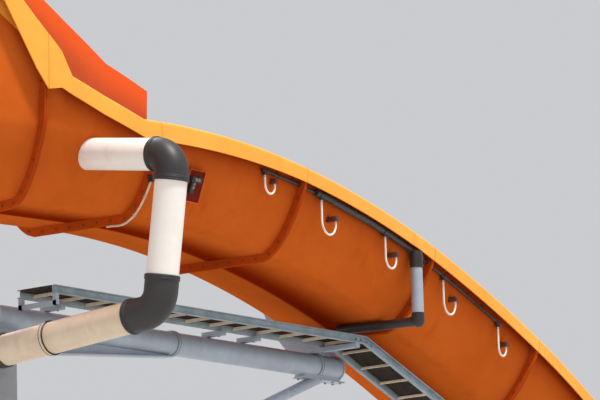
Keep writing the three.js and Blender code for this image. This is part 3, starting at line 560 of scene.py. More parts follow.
# %% Draw the flume's outline
WALL, BOTTOM_HALF, BULGE, SHOULDER = 0.012, 0.5, (0.7, 0.1), (0.862, 0.6)
UPPER_LEAN, RIM, LIP = 0.05, 0.775, (0.088, 0.145)
NEAR_WALL = [(0, 2.6, 0.23), (0.4, 2.27, 0.23), (0.74, 1.79, 0.23), (0.85, 1.62, 0.36), (0.93, 1.485, 0.45),
             (1, 1.375, 0.5), (1.11, 1.24, 0.335), (1.2, 1.035, 0.175), (1.46, 0.915, 0.175),
             (1.84, 0.765, 0.17), (2.1, 0.768, 0.175), (3, RIM, LIP[1])]
FAR_WALL = [(0, 2.85), (1, 2.83), (2, 2.68), (2.25, 2.4), (2.5, 2.11), (2.73, 1.87), (3, 1.775)]
FIRST_LOW_BAY = 3
LIP_RADIUS, ROUND_STEPS, CORNER_STEPS, WALL_STEPS = 0.036, 5, 18, 4
OUTSIDE, ON_RIM, INSIDE, ON_FLANGE = 0, 1, 2, 3


def read_wall(rows, column, at):
    """A wall's rim height or lip drop at a place counted in bays from the first joint."""
    after = next((i for i, row in enumerate(rows) if row[0] >= at), len(rows) - 1)
    low, high = rows[max(after - 1, 0)], rows[after]
    share = min((at - low[0]) / (high[0] - low[0]), 1) if high is not low else 0
    return blend(low[column], high[column], share)


def near_rim(bay, part):
    return read_wall(NEAR_WALL, 1, bay + part)


def far_rim(bay, part):
    return RIM if bay >= FIRST_LOW_BAY else read_wall(FAR_WALL, 1, bay + part)


def lip_size(bay, part):
    return LIP[0], read_wall(NEAR_WALL, 2, bay + part)


def side_line(rim):
    """The outer face of one wall, from the bottom's edge to the rim, as (half width, height)."""
    points = []
    for step in range(CORNER_STEPS + 1):
        t = step / CORNER_STEPS
        points.append(Vector((BOTTOM_HALF, 0)) * (1 - t) ** 2 + Vector(BULGE) * 2 * t * (1 - t)
                      + Vector(SHOULDER) * t ** 2)
    for step in range(1, WALL_STEPS + 1):
        height = blend(SHOULDER[1], rim, step / WALL_STEPS)
        points.append(Vector((SHOULDER[0] + (height - SHOULDER[1]) * UPPER_LEAN, height)))
    return points


def offset_line(points, distance):
    moved = []
    for i, point in enumerate(points):
        direction = Vector((1, 0)) if i == 0 else (
            points[min(i + 1, len(points) - 1)] - points[i - 1]).normalized()
        moved.append(point + Vector((direction.y, -direction.x)) * distance)
    return moved


def wall_outline(rim, lip):
    """One side from the bottom outside, up over the rim and back down inside, with each part's zone."""
    outer = side_line(rim)
    inner = offset_line(outer, -WALL)
    top = outer[-1].x
    points = [(p, OUTSIDE) for p in outer[:-1]]
    if lip:
        width, drop = lip
        face = top + width
        points += [(Vector(p), ON_RIM) for p in (
            (top, rim - WALL), (face - WALL, rim - WALL), (face - WALL, rim - drop), (face, rim - drop))]
        for step in range(ROUND_STEPS + 1):
            turned = math.pi / 2 * step / ROUND_STEPS
            points.append((Vector((face - LIP_RADIUS + LIP_RADIUS * math.cos(turned),
                                   rim - LIP_RADIUS + LIP_RADIUS * math.sin(turned))), ON_RIM))
    else:
        points.append((Vector((top, rim)), ON_RIM))
    points.append((Vector((inner[-1].x, rim)), INSIDE))
    return points + [(p, INSIDE) for p in reversed(inner[:-1])]


print("outline of a low wall has", len(wall_outline(RIM, LIP)), "points")

# %% [markdown]
# ## Extruding the bays
#
# A ring of points is the whole outline at one place on the flume, and the faces between two rings
# take the finish of their zone. Each end of a bay has a flange outside the wall, from lip to lip.
# The far wall has a lip only from the fourth bay on. Four zones on one mesh keep every edge
# between two finishes closed, which four meshes side by side would not.

# %% Extrude the shells
CUTS = 3
FLANGE_DEPTH, FLANGE_THICKNESS, FLANGE_SET_BACK, FLANGE_ROOT = 0.08, 0.014, 0.002, 0.004
FLANGE_UNDER_LIP, FLANGE_BELOW_RIM = 0.07, 0.01


def shell_ring(bay, part):
    """The whole outline in order round the trough: near outside down, far outside up, and back inside."""
    lip = lip_size(bay, part)
    near, far = ([(Vector((side * p.x, p.y)), zone, rim) for p, zone in wall_outline(rim, folded)]
                 for side, rim, folded in ((-1, near_rim(bay, part), lip),
                                           (1, far_rim(bay, part), lip if bay >= FIRST_LOW_BAY else None)))
    split = CORNER_STEPS + WALL_STEPS
    return near[:split][::-1] + far + near[split:][::-1]


def flange_line(bay, end, depth):
    """A line round a joint flange, a given depth out from the wall, from the near rim to the far one."""
    near_top = near_rim(bay, end) - lip_size(bay, end)[1] + FLANGE_UNDER_LIP
    far_top = far_rim(bay, end) - FLANGE_BELOW_RIM
    if bay >= FIRST_LOW_BAY:
        far_top = RIM - LIP[1] + FLANGE_UNDER_LIP
    near, far = side_line(near_top), side_line(far_top)
    return [Vector((-p.x, p.y)) for p in offset_line(near, depth)[::-1]] + offset_line(far, depth)


def strip_rings(lines, first, second):
    """Rings of four corners along two lines, from one place on the flume, (bay, part), to another."""
    return [[place(*first, *a), place(*first, *b), place(*second, *b), place(*second, *a)]
            for a, b in zip(*lines)]


for bay in range(len(BAY_LENGTH)):
    bm = bmesh.new()
    height_layer, below_layer, reach_layer = (
        bm.verts.layers.float.new(name) for name in ("height", "below_rim", "reach"))
    parts = bay_parts(bay, CUTS)
    outlines = [shell_ring(bay, part) for part in parts]
    rows = loop_through(bm, [[place(bay, part, p.x, p.y) for p, _, _ in outline]
                             for part, outline in zip(parts, outlines)])
    zone_of = {}
    for outline, row in zip(outlines, rows):
        for (p, zone, rim), vert in zip(outline, row):
            vert[height_layer] = p.y
            vert[below_layer] = rim - p.y
            vert[reach_layer] = p.x
            zone_of[vert] = zone
    for face in bm.faces:
        zones = [zone_of[v] for v in face.verts]
        face.material_index = ON_RIM if ON_RIM in zones else max(set(zones), key=zones.count)
    for end in (0, 1):
        inset = FLANGE_SET_BACK / BAY_LENGTH[bay]
        thick = FLANGE_THICKNESS / BAY_LENGTH[bay]
        faces = (inset, inset + thick) if end == 0 else (1 - inset - thick, 1 - inset)
        lines = [flange_line(bay, end, depth) for depth in (-FLANGE_ROOT, FLANGE_DEPTH)]
        for row in loop_through(bm, strip_rings(lines, (bay, faces[0]), (bay, faces[1]))):
            for face in {face for vert in row for face in vert.link_faces}:
                face.material_index = ON_FLANGE
    finish_piece(f"flume_shell_{bay + 1}", bm, [wall_orange, sunlit_rim_orange, inside_orange, flange_orange],
                 "flume_laminate", [f"flume_section_{bay + 1}"])
shells = [piece for piece in bpy.data.objects if piece.name.startswith("flume_shell")]
print(len(shells), "shells,", sum(len(shell.data.polygons) for shell in shells), "faces")

# %% [markdown]
# ## CAD pieces that keep their shape
#
# Pipes, plates and rails already have the right form. Their CAD mesh is loose triangles, which
# shade flat, so each is copied and its doubles are merged, and where a bevel width is given its
# sharp edges get the small round that sawn steel and moulded plastic have. The copy stands for the CAD
# node.

# %% Dress the plain CAD nodes
BEVELLED_EDGE, SAME_PLANE, SAME_POINT = math.radians(50), math.radians(1), 1e-5


def dressed_copy(node, material, slot, bevel):
    bm = bmesh.new()
    bm.from_mesh(nodes[node].data)
    bmesh.ops.remove_doubles(bm, verts=bm.verts, dist=SAME_POINT)
    bmesh.ops.dissolve_limit(bm, angle_limit=SAME_PLANE, verts=bm.verts, edges=bm.edges)
    if bevel:
        edges = [e for e in bm.edges if e.calc_face_angle(0) > BEVELLED_EDGE]
        bmesh.ops.bevel(bm, geom=edges, offset=bevel, affect="EDGES", segments=2, profile=0.5, material=-1,
                        clamp_overlap=True)
    bmesh.ops.triangulate(bm, faces=[f for f in bm.faces if len(f.verts) > 4])
    finish_piece(f"{node}_finished", bm, [material], slot, [node])


FINISHES = [
    (pipe_white, "pressure_pipe", 0.0, ["inlet_branch_pipe", "inlet_riser_pipe"]),
    (pipe_beige, "pressure_pipe", 0.0, ["inlet_feed_pipe"]),
    (fitting_grey, "pipe_fitting", 0.0, [
        "inlet_end_cap", "spray_line_upper", "spray_manifold", "spray_line_lower", "supply_elbow",
        "supply_cross_pipe"]),
    (nozzle_brown, "pipe_fitting", 0.006, [f"spray_nozzle_{n}" for n in range(1, len(SPRAYS) + 1)]),
    (conduit_cream, "galvanised_steel", 0.0, ["drain_conduit"]),
    (galvanised, "galvanised_steel", 0.0, [
        "supply_riser", "support_arm_inner", "support_arm_outer", "arm_head", "arm_strut",
        "trestle_head", "upstream_saddle"]),
    (rail_steel, "galvanised_steel", 0.002, [
        "walkway_near_rail", "walkway_far_rail", "ramp_near_rail", "ramp_far_rail"]),
    (galvanised, "galvanised_steel", 0.002, [
        "arm_haunch", *(f"walkway_bearer_{n}" for n in range(1, 5))]),
    (column_paint, "column_steel", 0.0, [
        "support_column", "trestle_leg_near", "trestle_leg_far", "trestle_tie", "upstream_column"]),
    # The bracket has none of the shells' attributes, so the wall finish lays its painted shade under the
    # lip and its painted dark band over all of it.
    (wall_orange, "flume_laminate", 0.006, ["wall_bracket"]),
]
for material, slot, bevel, names in FINISHES:
    for name in names:
        dressed_copy(name, material, slot, bevel)
print(sum(len(names) for *_, names in FINISHES), "CAD nodes dressed")

# %% [markdown]
# ## Bolts, beads and blocks
#
# Small hardware repeats all over the slide, so each kind is one function that adds its faces to
# a shared mesh. A bolt is a washer under a hexagon head, a bead is a thin round line of sealant
# or weld, a collar is a short ring, and a block is a plain bar turned into place.

# %% Helpers for hardware
WASHER_RADIUS, WASHER_DEPTH, HEAD_SEAT, HEAD_RADIUS, HEAD_DEPTH = 0.72, 0.14, 0.13, 0.56, 0.5
WASHER_SIDES, HEAD_SIDES, BEAD_SIDES, COLLAR_EDGE = 12, 6, 6, 0.003


def frame_on(centre, axis):
    return Matrix.Translation(centre) @ axis.to_track_quat("Z", "Y").to_matrix().to_4x4()


def disc(bm, centre, axis, radius, depth, sides):
    bmesh.ops.create_cone(bm, cap_ends=True, segments=sides, radius1=radius, radius2=radius, depth=depth,
                          matrix=frame_on(centre + axis * depth / 2, axis))


def bolt(bm, seat, axis, size):
    """A washer and a hexagon head that sit on a face, for a given width across the head."""
    axis = axis.normalized()
    disc(bm, seat, axis, size * WASHER_RADIUS, size * WASHER_DEPTH, WASHER_SIDES)
    disc(bm, seat + axis * size * HEAD_SEAT, axis, size * HEAD_RADIUS, size * HEAD_DEPTH, HEAD_SIDES)


def collar(bm, centre, axis, radius, length, sides=32):
    axis = axis.normalized()
    edge = min(COLLAR_EDGE, length / 3)
    tube(bm, [(centre + axis * a, axis, radius - b) for a, b in (
        (-length / 2, edge), (edge - length / 2, 0), (length / 2 - edge, 0), (length / 2, edge))], sides)


def bead(bm, points, radius):
    ends = zip([points[0], *points], [*points[1:], points[-1]])
    tube(bm, [(p, (b - a).normalized(), radius) for p, (a, b) in zip(points, ends)], BEAD_SIDES)


def block(bm, centre, sizes, axes=None):
    turn = Matrix(axes).transposed().to_4x4() if axes else Matrix()
    bmesh.ops.create_cube(bm, size=1,
                          matrix=Matrix.Translation(centre) @ turn @ Matrix.Diagonal((*sizes, 1)))


def spread(points, spacing):
    """Evenly spaced points along a line of points, half a step in from its ends."""
    lengths = [(b - a).length for a, b in zip(points, points[1:])]
    count = max(round(sum(lengths) / spacing), 1)
    placed, passed, at = [], 0.0, 0
    for number in range(count):
        target = sum(lengths) * (number + 0.5) / count
        while passed + lengths[at] < target:
            passed += lengths[at]
            at += 1
        placed.append(points[at].lerp(points[at + 1], (target - passed) / lengths[at]))
    return placed


print("hardware ready")

# %% [markdown]
# ## Joints between the bays
#
# Neighbouring bays are drawn together at their flanges by a bolt about every 150 mm, with a
# strip of dark sealant between the flanges and a bead over each rim with a lip. A head or a nut
# shows on either flange. The seats are spread along the flange's own line, so the bolts follow
# the wall at every joint, whatever its height.

# %% Bolt and seal the joints
BOLT_SPACING, BOLT_LINE, JOINT_BOLT = 0.15, 0.047, 0.018
SEAL_ROOT, SEAL_DEPTH, SEAL_HALF, RIM_BEAD, BEAD_START = 0.001, 0.077, 0.0018, 0.0015, 3

bolts, seals = bmesh.new(), bmesh.new()
for joint in range(1, len(BAY_LENGTH)):
    upstream, downstream = joint - 1, joint
    for bay, end, sign in ((upstream, 1, -1), (downstream, 0, 1)):
        part = end + sign * (FLANGE_SET_BACK + FLANGE_THICKNESS) / BAY_LENGTH[bay]
        line = [place(bay, part, *p) for p in flange_line(bay, end, BOLT_LINE)]
        for seat in spread(line, BOLT_SPACING):
            bolt(bolts, seat, directions(bay, end)[0] * sign, JOINT_BOLT)
    lines = [flange_line(upstream, 1, depth) for depth in (SEAL_ROOT, SEAL_DEPTH)]
    loop_through(seals, strip_rings(lines, (upstream, 1 - SEAL_HALF / BAY_LENGTH[upstream]),
                                    (downstream, SEAL_HALF / BAY_LENGTH[downstream])))
    rims = [(-1, near_rim(upstream, 1), lip_size(upstream, 1)), (1, far_rim(upstream, 1), LIP)]
    for side, rim, lip in rims if upstream >= FIRST_LOW_BAY else rims[:1]:
        over = [p for p, zone in wall_outline(rim, lip) if zone == ON_RIM][BEAD_START:]
        bead(seals, [place(upstream, 1, side * p.x, p.y) for p in over], RIM_BEAD)
finish_piece("joint_bolts", bolts, [bolt_tinted], "galvanised_steel")
finish_piece("joint_sealant", seals, [seal_dark], "flume_laminate")
print(len(BAY_LENGTH) - 1, "joints bolted and sealed")

# %% [markdown]
# ## Gratings
#
# The walkway and its ramp are real gratings: bearing bars on edge along each run, thin rods
# across them, and a pale angle under them every 350 mm, or every 315 mm on the ramp. They stand
# for the plain CAD decks. Bars that are really there let daylight through from below, which a
# painted pattern could not. Two short posts and a cross member close the upstream end.

# %% Lay the gratings
KNEE = SETTING_OUT + Vector((0.68, 0, -1.305))
WALK_LENGTH, RAMP_LENGTH, RAMP_SLOPE = 4.497, 4.5, math.radians(22)
DECK_HALF, BARS_EACH_SIDE, BAR_PITCH, ROD_PITCH = 0.184, 5, 0.034, 0.1
BAR_THICKNESS, BAR_DEPTH, BAR_HEIGHT, ROD_SIZE, ROD_HEIGHT = 0.005, 0.024, 0.025, (0.007, 0.006), 0.034
END_BAR, ANGLE_LEG, ANGLE_WEB, ANGLE_DROP, ANGLE_TOP = 0.006, 0.024, 0.006, 0.008, (0.02, 0.0095)
WALK_SHORT, RAMP_START, RAMP_SHORT, WALK_ANGLES, RAMP_ANGLES = 0.006, 0.012, 0.014, 0.35, 0.315
POST_SIZE, POST_DROP, CROSS_MEMBER, CROSS_DROP = (0.04, 0.04, 0.1), 0.088, (0.04, 0.45, 0.04), 0.118
POST_IN, POST_Y = 0.03, 0.2
SIDE = Vector((0, 1, 0))
LEVEL, RAMP_DOWN = Vector((1, 0, 0)), Vector((math.cos(RAMP_SLOPE), 0, -math.sin(RAMP_SLOPE)))


def lay_grating(name, stands_for, start, along, length, angle_pitch):
    up = along.cross(SIDE)
    axes = (along, SIDE, up)
    bars, angles = bmesh.new(), bmesh.new()
    middle = start + along * length / 2 + up * BAR_HEIGHT
    for number in range(-BARS_EACH_SIDE, BARS_EACH_SIDE + 1):
        block(bars, middle + SIDE * number * BAR_PITCH, (length, BAR_THICKNESS, BAR_DEPTH), axes)
    for number in range(int(length / ROD_PITCH)):
        block(bars, start + along * (number + 0.5) * ROD_PITCH + up * ROD_HEIGHT,
              (ROD_SIZE[0], 2 * DECK_HALF, ROD_SIZE[1]), axes)
    for end in (END_BAR, length - END_BAR):
        block(bars, start + along * end + up * BAR_HEIGHT, (END_BAR, 2 * DECK_HALF, BAR_HEIGHT), axes)
    for number in range(round(length / angle_pitch)):
        at = start + along * (number + 0.5) * angle_pitch
        block(angles, at - up * ANGLE_DROP, (ANGLE_WEB, 2 * DECK_HALF, ANGLE_LEG), axes)
        block(angles, at + along * ANGLE_TOP[0] + up * ANGLE_TOP[1],
              (ANGLE_LEG, 2 * DECK_HALF, BAR_THICKNESS), axes)
    finish_piece(name, bars, [grating_steel], "deck_steel", [stands_for])
    finish_piece(f"{name}_angles", angles, [bar_steel], "deck_steel")
    print(name, "is", length, "m long")


lay_grating("level_grating", "walkway_deck", KNEE - LEVEL * WALK_LENGTH, LEVEL, WALK_LENGTH - WALK_SHORT,
            WALK_ANGLES)
lay_grating("ramp_grating", "ramp_deck", KNEE + RAMP_DOWN * RAMP_START, RAMP_DOWN, RAMP_LENGTH - RAMP_SHORT,
            RAMP_ANGLES)

bm = bmesh.new()
walk_end = KNEE - LEVEL * (WALK_LENGTH - POST_IN)
for y in (-POST_Y, POST_Y):
    block(bm, walk_end + SIDE * y - UP * POST_DROP, POST_SIZE)
block(bm, walk_end - UP * CROSS_DROP, CROSS_MEMBER)
finish_piece("walkway_end_post", bm, [galvanised], "galvanised_steel")

# %% [markdown]
# ## Steel connections
#
# Splice plates join the rails at the knee, nuts hold the walkway to its bearers, bolts hold the
# strut's plate to the arm, and every base plate has four anchors. A dark gasket lies between each
# pair of flanges on the arm, and weld beads run round the tube ends. Their places are measured
# from the setting out point, as the CAD steelwork is, so each one sits on its own face.

# %% Bolt and weld the steelwork
ARM_Y, ARM_Z, ARM_RADIUS, ARM_FLANGE, ARM_WELD = 0.35, -1.5, 0.1095, 0.022, 0.005
SPLICE_X, HEAD_X, STRUT_HEAD_X, COLUMN_X = -1.554, 0.606, 0.64, -3.9
STRUT_FOOT_Z, STRUT_PLATE_Z = -3.374, -1.6388
STRUT_BOLT_X, STRUT_BOLT_Y = (0.4, 0.82, 0.94), 0.046
STRUT_WELD_UP, STRUT_WELD_RADIUS, STRUT_WELD_LENGTH = 0.046, 0.057, 0.02
KNEE_BOLT, BEARER_BOLT, ANCHOR_BOLT, STRUT_BOLT = 0.018, 0.014, 0.036, 0.02
GASKET_RADIUS, GASKET_LENGTH, WELD, WELD_LENGTH = 0.1235, 0.007, 0.006, 0.008
RAIL_WEB, KNEE_PLATE, KNEE_BOLTS = 0.185, (0.17, 0.006, 0.052), (0.045, 0.125)
PLATE_ALONG, PLATE_OUT, NUT_OUT = 0.09, 0.007, 0.01
BEARERS = [(-3.3, (0.205,)), (-1.03, (0.205,)), (-0.51, (0.205,)), (0.545, (-0.205, 0.205))]
BEARER_BOLT_Z, BEARER_BOLTS = -1.3902, ((-0.0108, -0.0072), (0.0108, 0.0072))
COLUMN_RADIUS, PLATE_TOP, ANCHOR_REACH, STUD = 0.1365, 0.03, 0.22, (0.012, 0.055)
COLUMN_FEET = [(0.0, 0.0), (-2.3972, 0.0717)]
TRESTLE_FEET = [(8.6983, -1.6544), (8.6983, 2.1456)]

bolts, welds, plates, gaskets = (bmesh.new() for _ in range(4))
for x in (SPLICE_X, HEAD_X):
    collar(gaskets, SETTING_OUT + Vector((x, ARM_Y, ARM_Z)), LEVEL, GASKET_RADIUS, GASKET_LENGTH)
    for side in (-1, 1):
        face = SETTING_OUT + Vector((x + side * ARM_FLANGE, ARM_Y, ARM_Z))
        collar(welds, face + LEVEL * side * WELD / 2, LEVEL, ARM_RADIUS + ARM_WELD, WELD_LENGTH)

for side in (-1, 1):
    web = KNEE + SIDE * side * RAIL_WEB
    for along, up in ((-LEVEL, UP), (RAMP_DOWN, RAMP_DOWN.cross(SIDE))):
        block(plates, web + along * PLATE_ALONG + SIDE * side * PLATE_OUT, KNEE_PLATE,
              (along, up.cross(along), up))
        for distance in KNEE_BOLTS:
            bolt(bolts, web + along * distance + SIDE * side * NUT_OUT, SIDE * side, KNEE_BOLT)

for x, places in BEARERS:
    for y in places:
        for dx, dy in BEARER_BOLTS:
            bolt(bolts, SETTING_OUT + Vector((x + dx, y + dy, BEARER_BOLT_Z)), -UP, BEARER_BOLT)

for x, y in COLUMN_FEET:
    collar(welds, Vector((x, y, PLATE_TOP + WELD / 2)), UP, COLUMN_RADIUS + WELD, WELD_LENGTH)
for x, y in COLUMN_FEET + TRESTLE_FEET:
    for dx in (-ANCHOR_REACH, ANCHOR_REACH):
        for dy in (-ANCHOR_REACH, ANCHOR_REACH):
            seat = Vector((x + dx, y + dy, PLATE_TOP))
            bolt(bolts, seat, UP, ANCHOR_BOLT)
            disc(bolts, seat, UP, *STUD, WASHER_SIDES)

for x in STRUT_BOLT_X:
    for y in (-STRUT_BOLT_Y, STRUT_BOLT_Y):
        bolt(bolts, SETTING_OUT + Vector((x, ARM_Y + y, STRUT_PLATE_Z)), -UP, STRUT_BOLT)
strut_foot = SETTING_OUT + Vector((COLUMN_X, ARM_Y, STRUT_FOOT_Z))
strut = (SETTING_OUT + Vector((STRUT_HEAD_X, ARM_Y, STRUT_PLATE_Z)) - strut_foot).normalized()
collar(welds, strut_foot + strut * (COLUMN_RADIUS + STRUT_WELD_UP), strut, STRUT_WELD_RADIUS,
       STRUT_WELD_LENGTH)
finish_piece("steel_bolts", bolts, [bolt_zinc], "galvanised_steel")
finish_piece("weld_beads", welds, [weld_grey], "galvanised_steel")
finish_piece("joint_plates", plates, [rail_steel], "galvanised_steel")
finish_piece("arm_gaskets", gaskets, [black_rubber], "galvanised_steel")
print("steelwork bolted,", len(COLUMN_FEET + TRESTLE_FEET), "base plates anchored")

# %% [markdown]
# ## Inlet elbows
#
# Both moulded elbows are swept afresh in one smooth skin: a socket, the bend, and a socket again,
# with a small step where each socket meets the bend. Two ridges run round every socket. A part of
# a torus between two cylinders would leave seams, and a tube through many stations has none.

# %% Sweep the elbows
TILT, FEED_FALL = math.radians(8.5), math.radians(4.8)
RISER_DOWN = Vector((0, math.sin(TILT), -math.cos(TILT)))
BRANCH_IN = Vector((0, math.cos(TILT), math.sin(TILT)))
FEED_ALONG = Vector((0, math.cos(FEED_FALL), -math.sin(FEED_FALL)))
RISER_TOP, RISER_LENGTH = SETTING_OUT + Vector((-4.15, -1.834, -0.62)), 0.8
SOCKET_RADIUS, ELBOW_RADIUS, SOCKET_COLLAR, SOCKET_LIP, BEND_STEPS = 0.152, 0.147, 0.05, 0.004, 24
UPPER_BEND, UPPER_SOCKETS, LOWER_BEND, LOWER_SOCKETS = 0.172, (0.055, 0.04), 0.2, (0.136, 0.16)
RIDGES, RIDGE_RISE, RIDGE_LENGTH, PIPE_SIDES = (0.012, 0.03), 0.0035, 0.008, 48
COLLAR_SHORT = 0.002


def sweep_elbow(name, start, entry, leave, bend, sockets):
    inward = (leave - entry * entry.dot(leave)).normalized()
    centre = start + entry * sockets[0] + inward * bend
    first, last = (min(SOCKET_COLLAR, length) - COLLAR_SHORT for length in sockets)
    spine = [(start + entry * at, entry, radius) for at, radius in (
        (0, SOCKET_RADIUS - SOCKET_LIP), (SOCKET_LIP, SOCKET_RADIUS), (first - SOCKET_LIP, SOCKET_RADIUS),
        (first, ELBOW_RADIUS))]
    for number in range(BEND_STEPS + 1):
        turned = entry.angle(leave) * number / BEND_STEPS
        spine.append((centre - inward * bend * math.cos(turned) + entry * bend * math.sin(turned),
                      entry * math.cos(turned) + inward * math.sin(turned), ELBOW_RADIUS))
    end = spine[-1][0] + leave * sockets[1]
    spine += [(end - leave * at, leave, radius) for at, radius in (
        (last, ELBOW_RADIUS), (last - SOCKET_LIP, SOCKET_RADIUS), (SOCKET_LIP, SOCKET_RADIUS),
        (0, SOCKET_RADIUS - SOCKET_LIP))]
    bm = bmesh.new()
    tube(bm, spine, PIPE_SIDES)
    for at in RIDGES:
        for centre, axis in ((start + entry * at, entry), (end - leave * at, leave)):
            collar(bm, centre, axis, SOCKET_RADIUS + RIDGE_RISE, RIDGE_LENGTH, PIPE_SIDES)
    finish_piece(f"{name}_finished", bm, [elbow_grey], "pipe_fitting", [name])
    return end


upper_end = sweep_elbow("inlet_upper_elbow", RISER_TOP, -RISER_DOWN, BRANCH_IN, UPPER_BEND, UPPER_SOCKETS)
elbow_end = sweep_elbow("inlet_lower_elbow", RISER_TOP + RISER_DOWN * (RISER_LENGTH + 4 * GAP), RISER_DOWN,
                        FEED_ALONG, LOWER_BEND, LOWER_SOCKETS)
print("elbows end at", [round(c, 3) for c in upper_end], [round(c, 3) for c in elbow_end])

# %% [markdown]
# ## Pipe fittings
#
# The feed pipe has a coupling between two dark rings. The spray line hangs from straps, every
# tee has its collars, and every hose is held by two small clamps. The conduit has its clips and
# its end fitting. Each ring is a collar on the centre line of its pipe, so it stays square to it.

# %% Fit the clamps and clips
COUPLING_Y, COUPLING_LENGTH, COUPLING_RISE = -0.47, 0.03, 0.002
CLAMP_RISE, CLAMP_LENGTH, CLAMP_SIDES, RING_SIDES, CLAMPS_UNDER = 0.002, 0.01, 16, 20, (0.012, 0.008)
TEE_RADIUS, TEE_RING_DROP, TEE_RING_LENGTH, TEE_HALF = 0.0235, 0.038, 0.012, 0.03
TEE_END_RISE, TEE_END_LENGTH = 0.004, 0.014
STRAP_RISE, STRAP_LENGTH, STRAP_BLOCK = 0.003, 0.022, (0.022, 0.012, 0.05)
BLOCK_BACK, BLOCK_UP = 0.006, 0.02
CLIP_PROUD, CLIP_SIZE, CLIP_SHARES = 0.0106, (0.014, 0.026, 0.026), (0.16, 0.42)
END_FITTING, END_FITTING_SHARE = (0.045, 0.05, 0.06), 0.657

dark, metal = bmesh.new(), bmesh.new()
coupling = elbow_end + FEED_ALONG * ((SETTING_OUT.y + COUPLING_Y - elbow_end.y) / FEED_ALONG.y)
for distance in (0.0, COUPLING_LENGTH):
    collar(dark, coupling + FEED_ALONG * distance, FEED_ALONG, SOCKET_RADIUS + COUPLING_RISE, RIDGE_LENGTH,
           PIPE_SIDES)

for (bay, part, radius, *_), (start, end) in zip(SPRAYS, hose_ends):
    for hose_end, under in zip((start, end), CLAMPS_UNDER):
        collar(metal, hose_end - UP * under, UP, HOSE_RADIUS + CLAMP_RISE, CLAMP_LENGTH, CLAMP_SIDES)
    tee = spray_tee(bay, part, radius)
    collar(dark, tee - UP * TEE_RING_DROP, UP, TEE_RADIUS, TEE_RING_LENGTH, RING_SIDES)
    for side in (-1, 1):
        collar(dark, tee + level_along(bay, part) * side * TEE_HALF, directions(bay, part)[0],
               radius + TEE_END_RISE, TEE_END_LENGTH, RING_SIDES)

LINE_STRAPS = [(2, 0.84, LINE_RADIUS), (2, 0.95, LINE_RADIUS),
               *((3, at, MANIFOLD_RADIUS) for at in (0.22, 0.38, 0.54, 0.74)),
               *((4, at, LINE_RADIUS) for at in (0.05, 0.24, 0.38, 0.52))]
for bay, part, radius in LINE_STRAPS:
    centre = spray_tee(bay, part, radius)
    along, across, up = directions(bay, part)
    collar(dark, centre, along, radius + STRAP_RISE, STRAP_LENGTH, RING_SIDES)
    block(dark, centre + across * (radius + BLOCK_BACK) + up * BLOCK_UP, STRAP_BLOCK,
          (along, across, up))

conduit_part = 1 - FLANGE_THICKNESS / BAY_LENGTH[1]
near_line = offset_line(side_line(near_rim(1, conduit_part)), FLANGE_DEPTH + CLIP_PROUD)
clip_line = [Vector((-p.x, p.y)) for p in near_line]
for bm, share, size in [(metal, share, CLIP_SIZE) for share in CLIP_SHARES] + [
        (dark, END_FITTING_SHARE, END_FITTING)]:
    point = clip_line[round(share * CORNER_STEPS)]
    block(bm, place(1, conduit_part, *point), size, directions(1, conduit_part))

finish_piece("dark_fittings", dark, [fitting_grey], "pipe_fitting")
finish_piece("clamps_and_straps", metal, [galvanised], "galvanised_steel")
print("fittings placed")

# %% [markdown]
# ## Box beside the riser
#
# The bonded box is open at the front: a thin raised rim runs round a dark red recess, which is a
# thin sheet of painted shade. The rim's lower and downstream bars are a painted highlight and its
# other bars the darker flange orange, and a black clamp with bolts sits high in it. The box leans with
# the wall, so its three directions come from the bay at its place, turned by the lean.

# %% Open the box
BOX_PART, BOX_LEAN, BOX_RIM, BOX_PROUD, RECESS = 0.295, math.radians(20), 0.012, 0.012, 0.004
BOX_BOLT = 0.022
CLAMP_BLOCKS = [((-0.1, 0.2, 0.02), (0.15, 0.045, 0.05)), ((-0.2, 0.0, 0.014), (0.06, 0.03, 0.13))]
CLAMP_BOLTS = [(-0.03, 0.2, 0.0425), (-0.2, 0.2, 0.0425), (-0.2, 0.07, 0.029), (-0.2, -0.04, 0.029)]

box_along, bay_across, bay_up = directions(2, BOX_PART)
box_across = bay_across * math.cos(BOX_LEAN) + bay_up * math.sin(BOX_LEAN)
box_up = bay_up * math.cos(BOX_LEAN) - bay_across * math.sin(BOX_LEAN)
box_axes = (box_along, box_across, box_up)
corners = [nodes["wall_bracket"].matrix_world @ v.co for v in nodes["wall_bracket"].data.vertices]
low, high = ([pick(p.dot(axis) for p in corners) for axis in box_axes] for pick in (min, max))
wide, tall = high[0] - low[0], high[2] - low[2]


def on_box(along, up, proud):
    """A point before the box's front, in shares of its width and height from the middle."""
    return (box_along * ((low[0] + high[0]) / 2 + along * wide) + box_across * (low[1] - proud)
            + box_up * ((low[2] + high[2]) / 2 + up * tall))


rim, lit_rim, recess, clamp, box_bolts = (bmesh.new() for _ in range(5))
for side in (-1, 1):
    block(lit_rim if side > 0 else rim, on_box(side * (0.5 - BOX_RIM / 2 / wide), 0, BOX_PROUD / 2),
          (BOX_RIM, BOX_PROUD, tall), box_axes)
    block(lit_rim if side < 0 else rim, on_box(0, side * (0.5 - BOX_RIM / 2 / tall), BOX_PROUD / 2),
          (wide - 2 * BOX_RIM, BOX_PROUD, BOX_RIM), box_axes)
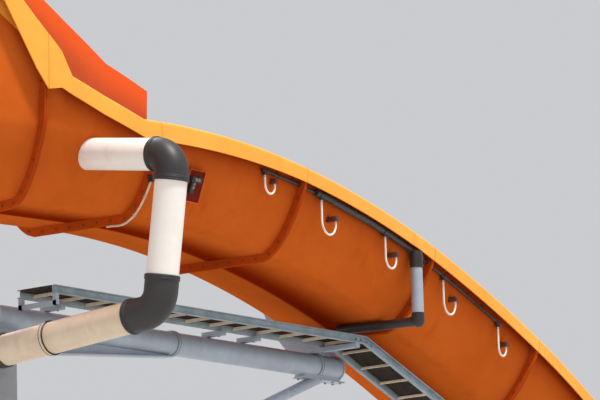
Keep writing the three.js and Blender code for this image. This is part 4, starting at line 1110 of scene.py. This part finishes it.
# The recess is a thin dark sheet of painted shade.
block(recess, on_box(0, 0, RECESS / 4), (wide - 2 * BOX_RIM, RECESS, tall - 2 * BOX_RIM), box_axes)
for where, size in CLAMP_BLOCKS:
    block(clamp, on_box(*where), size, box_axes)
for where in CLAMP_BOLTS:
    bolt(box_bolts, on_box(*where), -box_across, BOX_BOLT)
finish_piece("box_rim", rim, [flange_orange], "flume_laminate")
finish_piece("box_lit_rim", lit_rim, [lit_edge], "flume_laminate")
finish_piece("box_recess", recess, [recess_shade_red], "flume_laminate")
finish_piece("box_clamp", clamp, [black_rubber], "pipe_fitting")
finish_piece("box_bolts", box_bolts, [bolt_zinc], "galvanised_steel")
print("box is", round(wide, 3), "by", round(tall, 3), "m")

# %% [markdown]
# ## Floor and light
#
# The slide stands on a plain pale floor under soft light. A broad high sun gives the rims and
# pipes their bright tops, a weak one from the far side lights the inside of the tall wall, and
# the pale surroundings fill the shade under the trough.

# %% Set the stage
FLOOR_HALF, FLOOR_DROP = 150, 0.002
SKY, SKY_STRENGTH = (0.93, 0.94, 0.97, 1), 0.64

bm = bmesh.new()
bmesh.ops.create_grid(bm, x_segments=1, y_segments=1, size=FLOOR_HALF,
                      matrix=Matrix.Translation((0, 0, -FLOOR_DROP)))
floor_mesh = bpy.data.meshes.new("floor")
bm.to_mesh(floor_mesh)
bm.free()
floor = new_object("floor", floor_mesh)
floor_mesh.materials.append(weathered("pale_floor", (190, 188, 184), (186, 184, 180),
                                      (189, 187, 183), (184, 182, 178), 0.85, cloud_size=0.2,
                                      specular=0.1))


def add_sun(name, azimuth, elevation, strength, softness, colour=(1, 1, 1)):
    light = new_object(name, bpy.data.lights.new(name, "SUN"))
    light.data.energy, light.data.angle, light.data.color = strength, math.radians(softness), colour
    a, e = math.radians(azimuth), math.radians(elevation)
    towards = Vector((math.sin(a) * math.cos(e), -math.cos(a) * math.cos(e), math.sin(e)))
    light.rotation_euler = towards.to_track_quat("Z", "Y").to_euler()


add_sun("key", -4, 67, 3.5, 8, (1.0, 0.97, 0.93))
add_sun("rear", 150, 50, 1.0, 20)
world = bpy.data.worlds.new("pale_surroundings")
world.use_nodes = True
background = world.node_tree.nodes["Background"]
background.inputs["Color"].default_value, background.inputs["Strength"].default_value = SKY, SKY_STRENGTH
bpy.context.scene.world = world
bpy.context.scene.view_settings.view_transform = "Standard"
print("stage set")
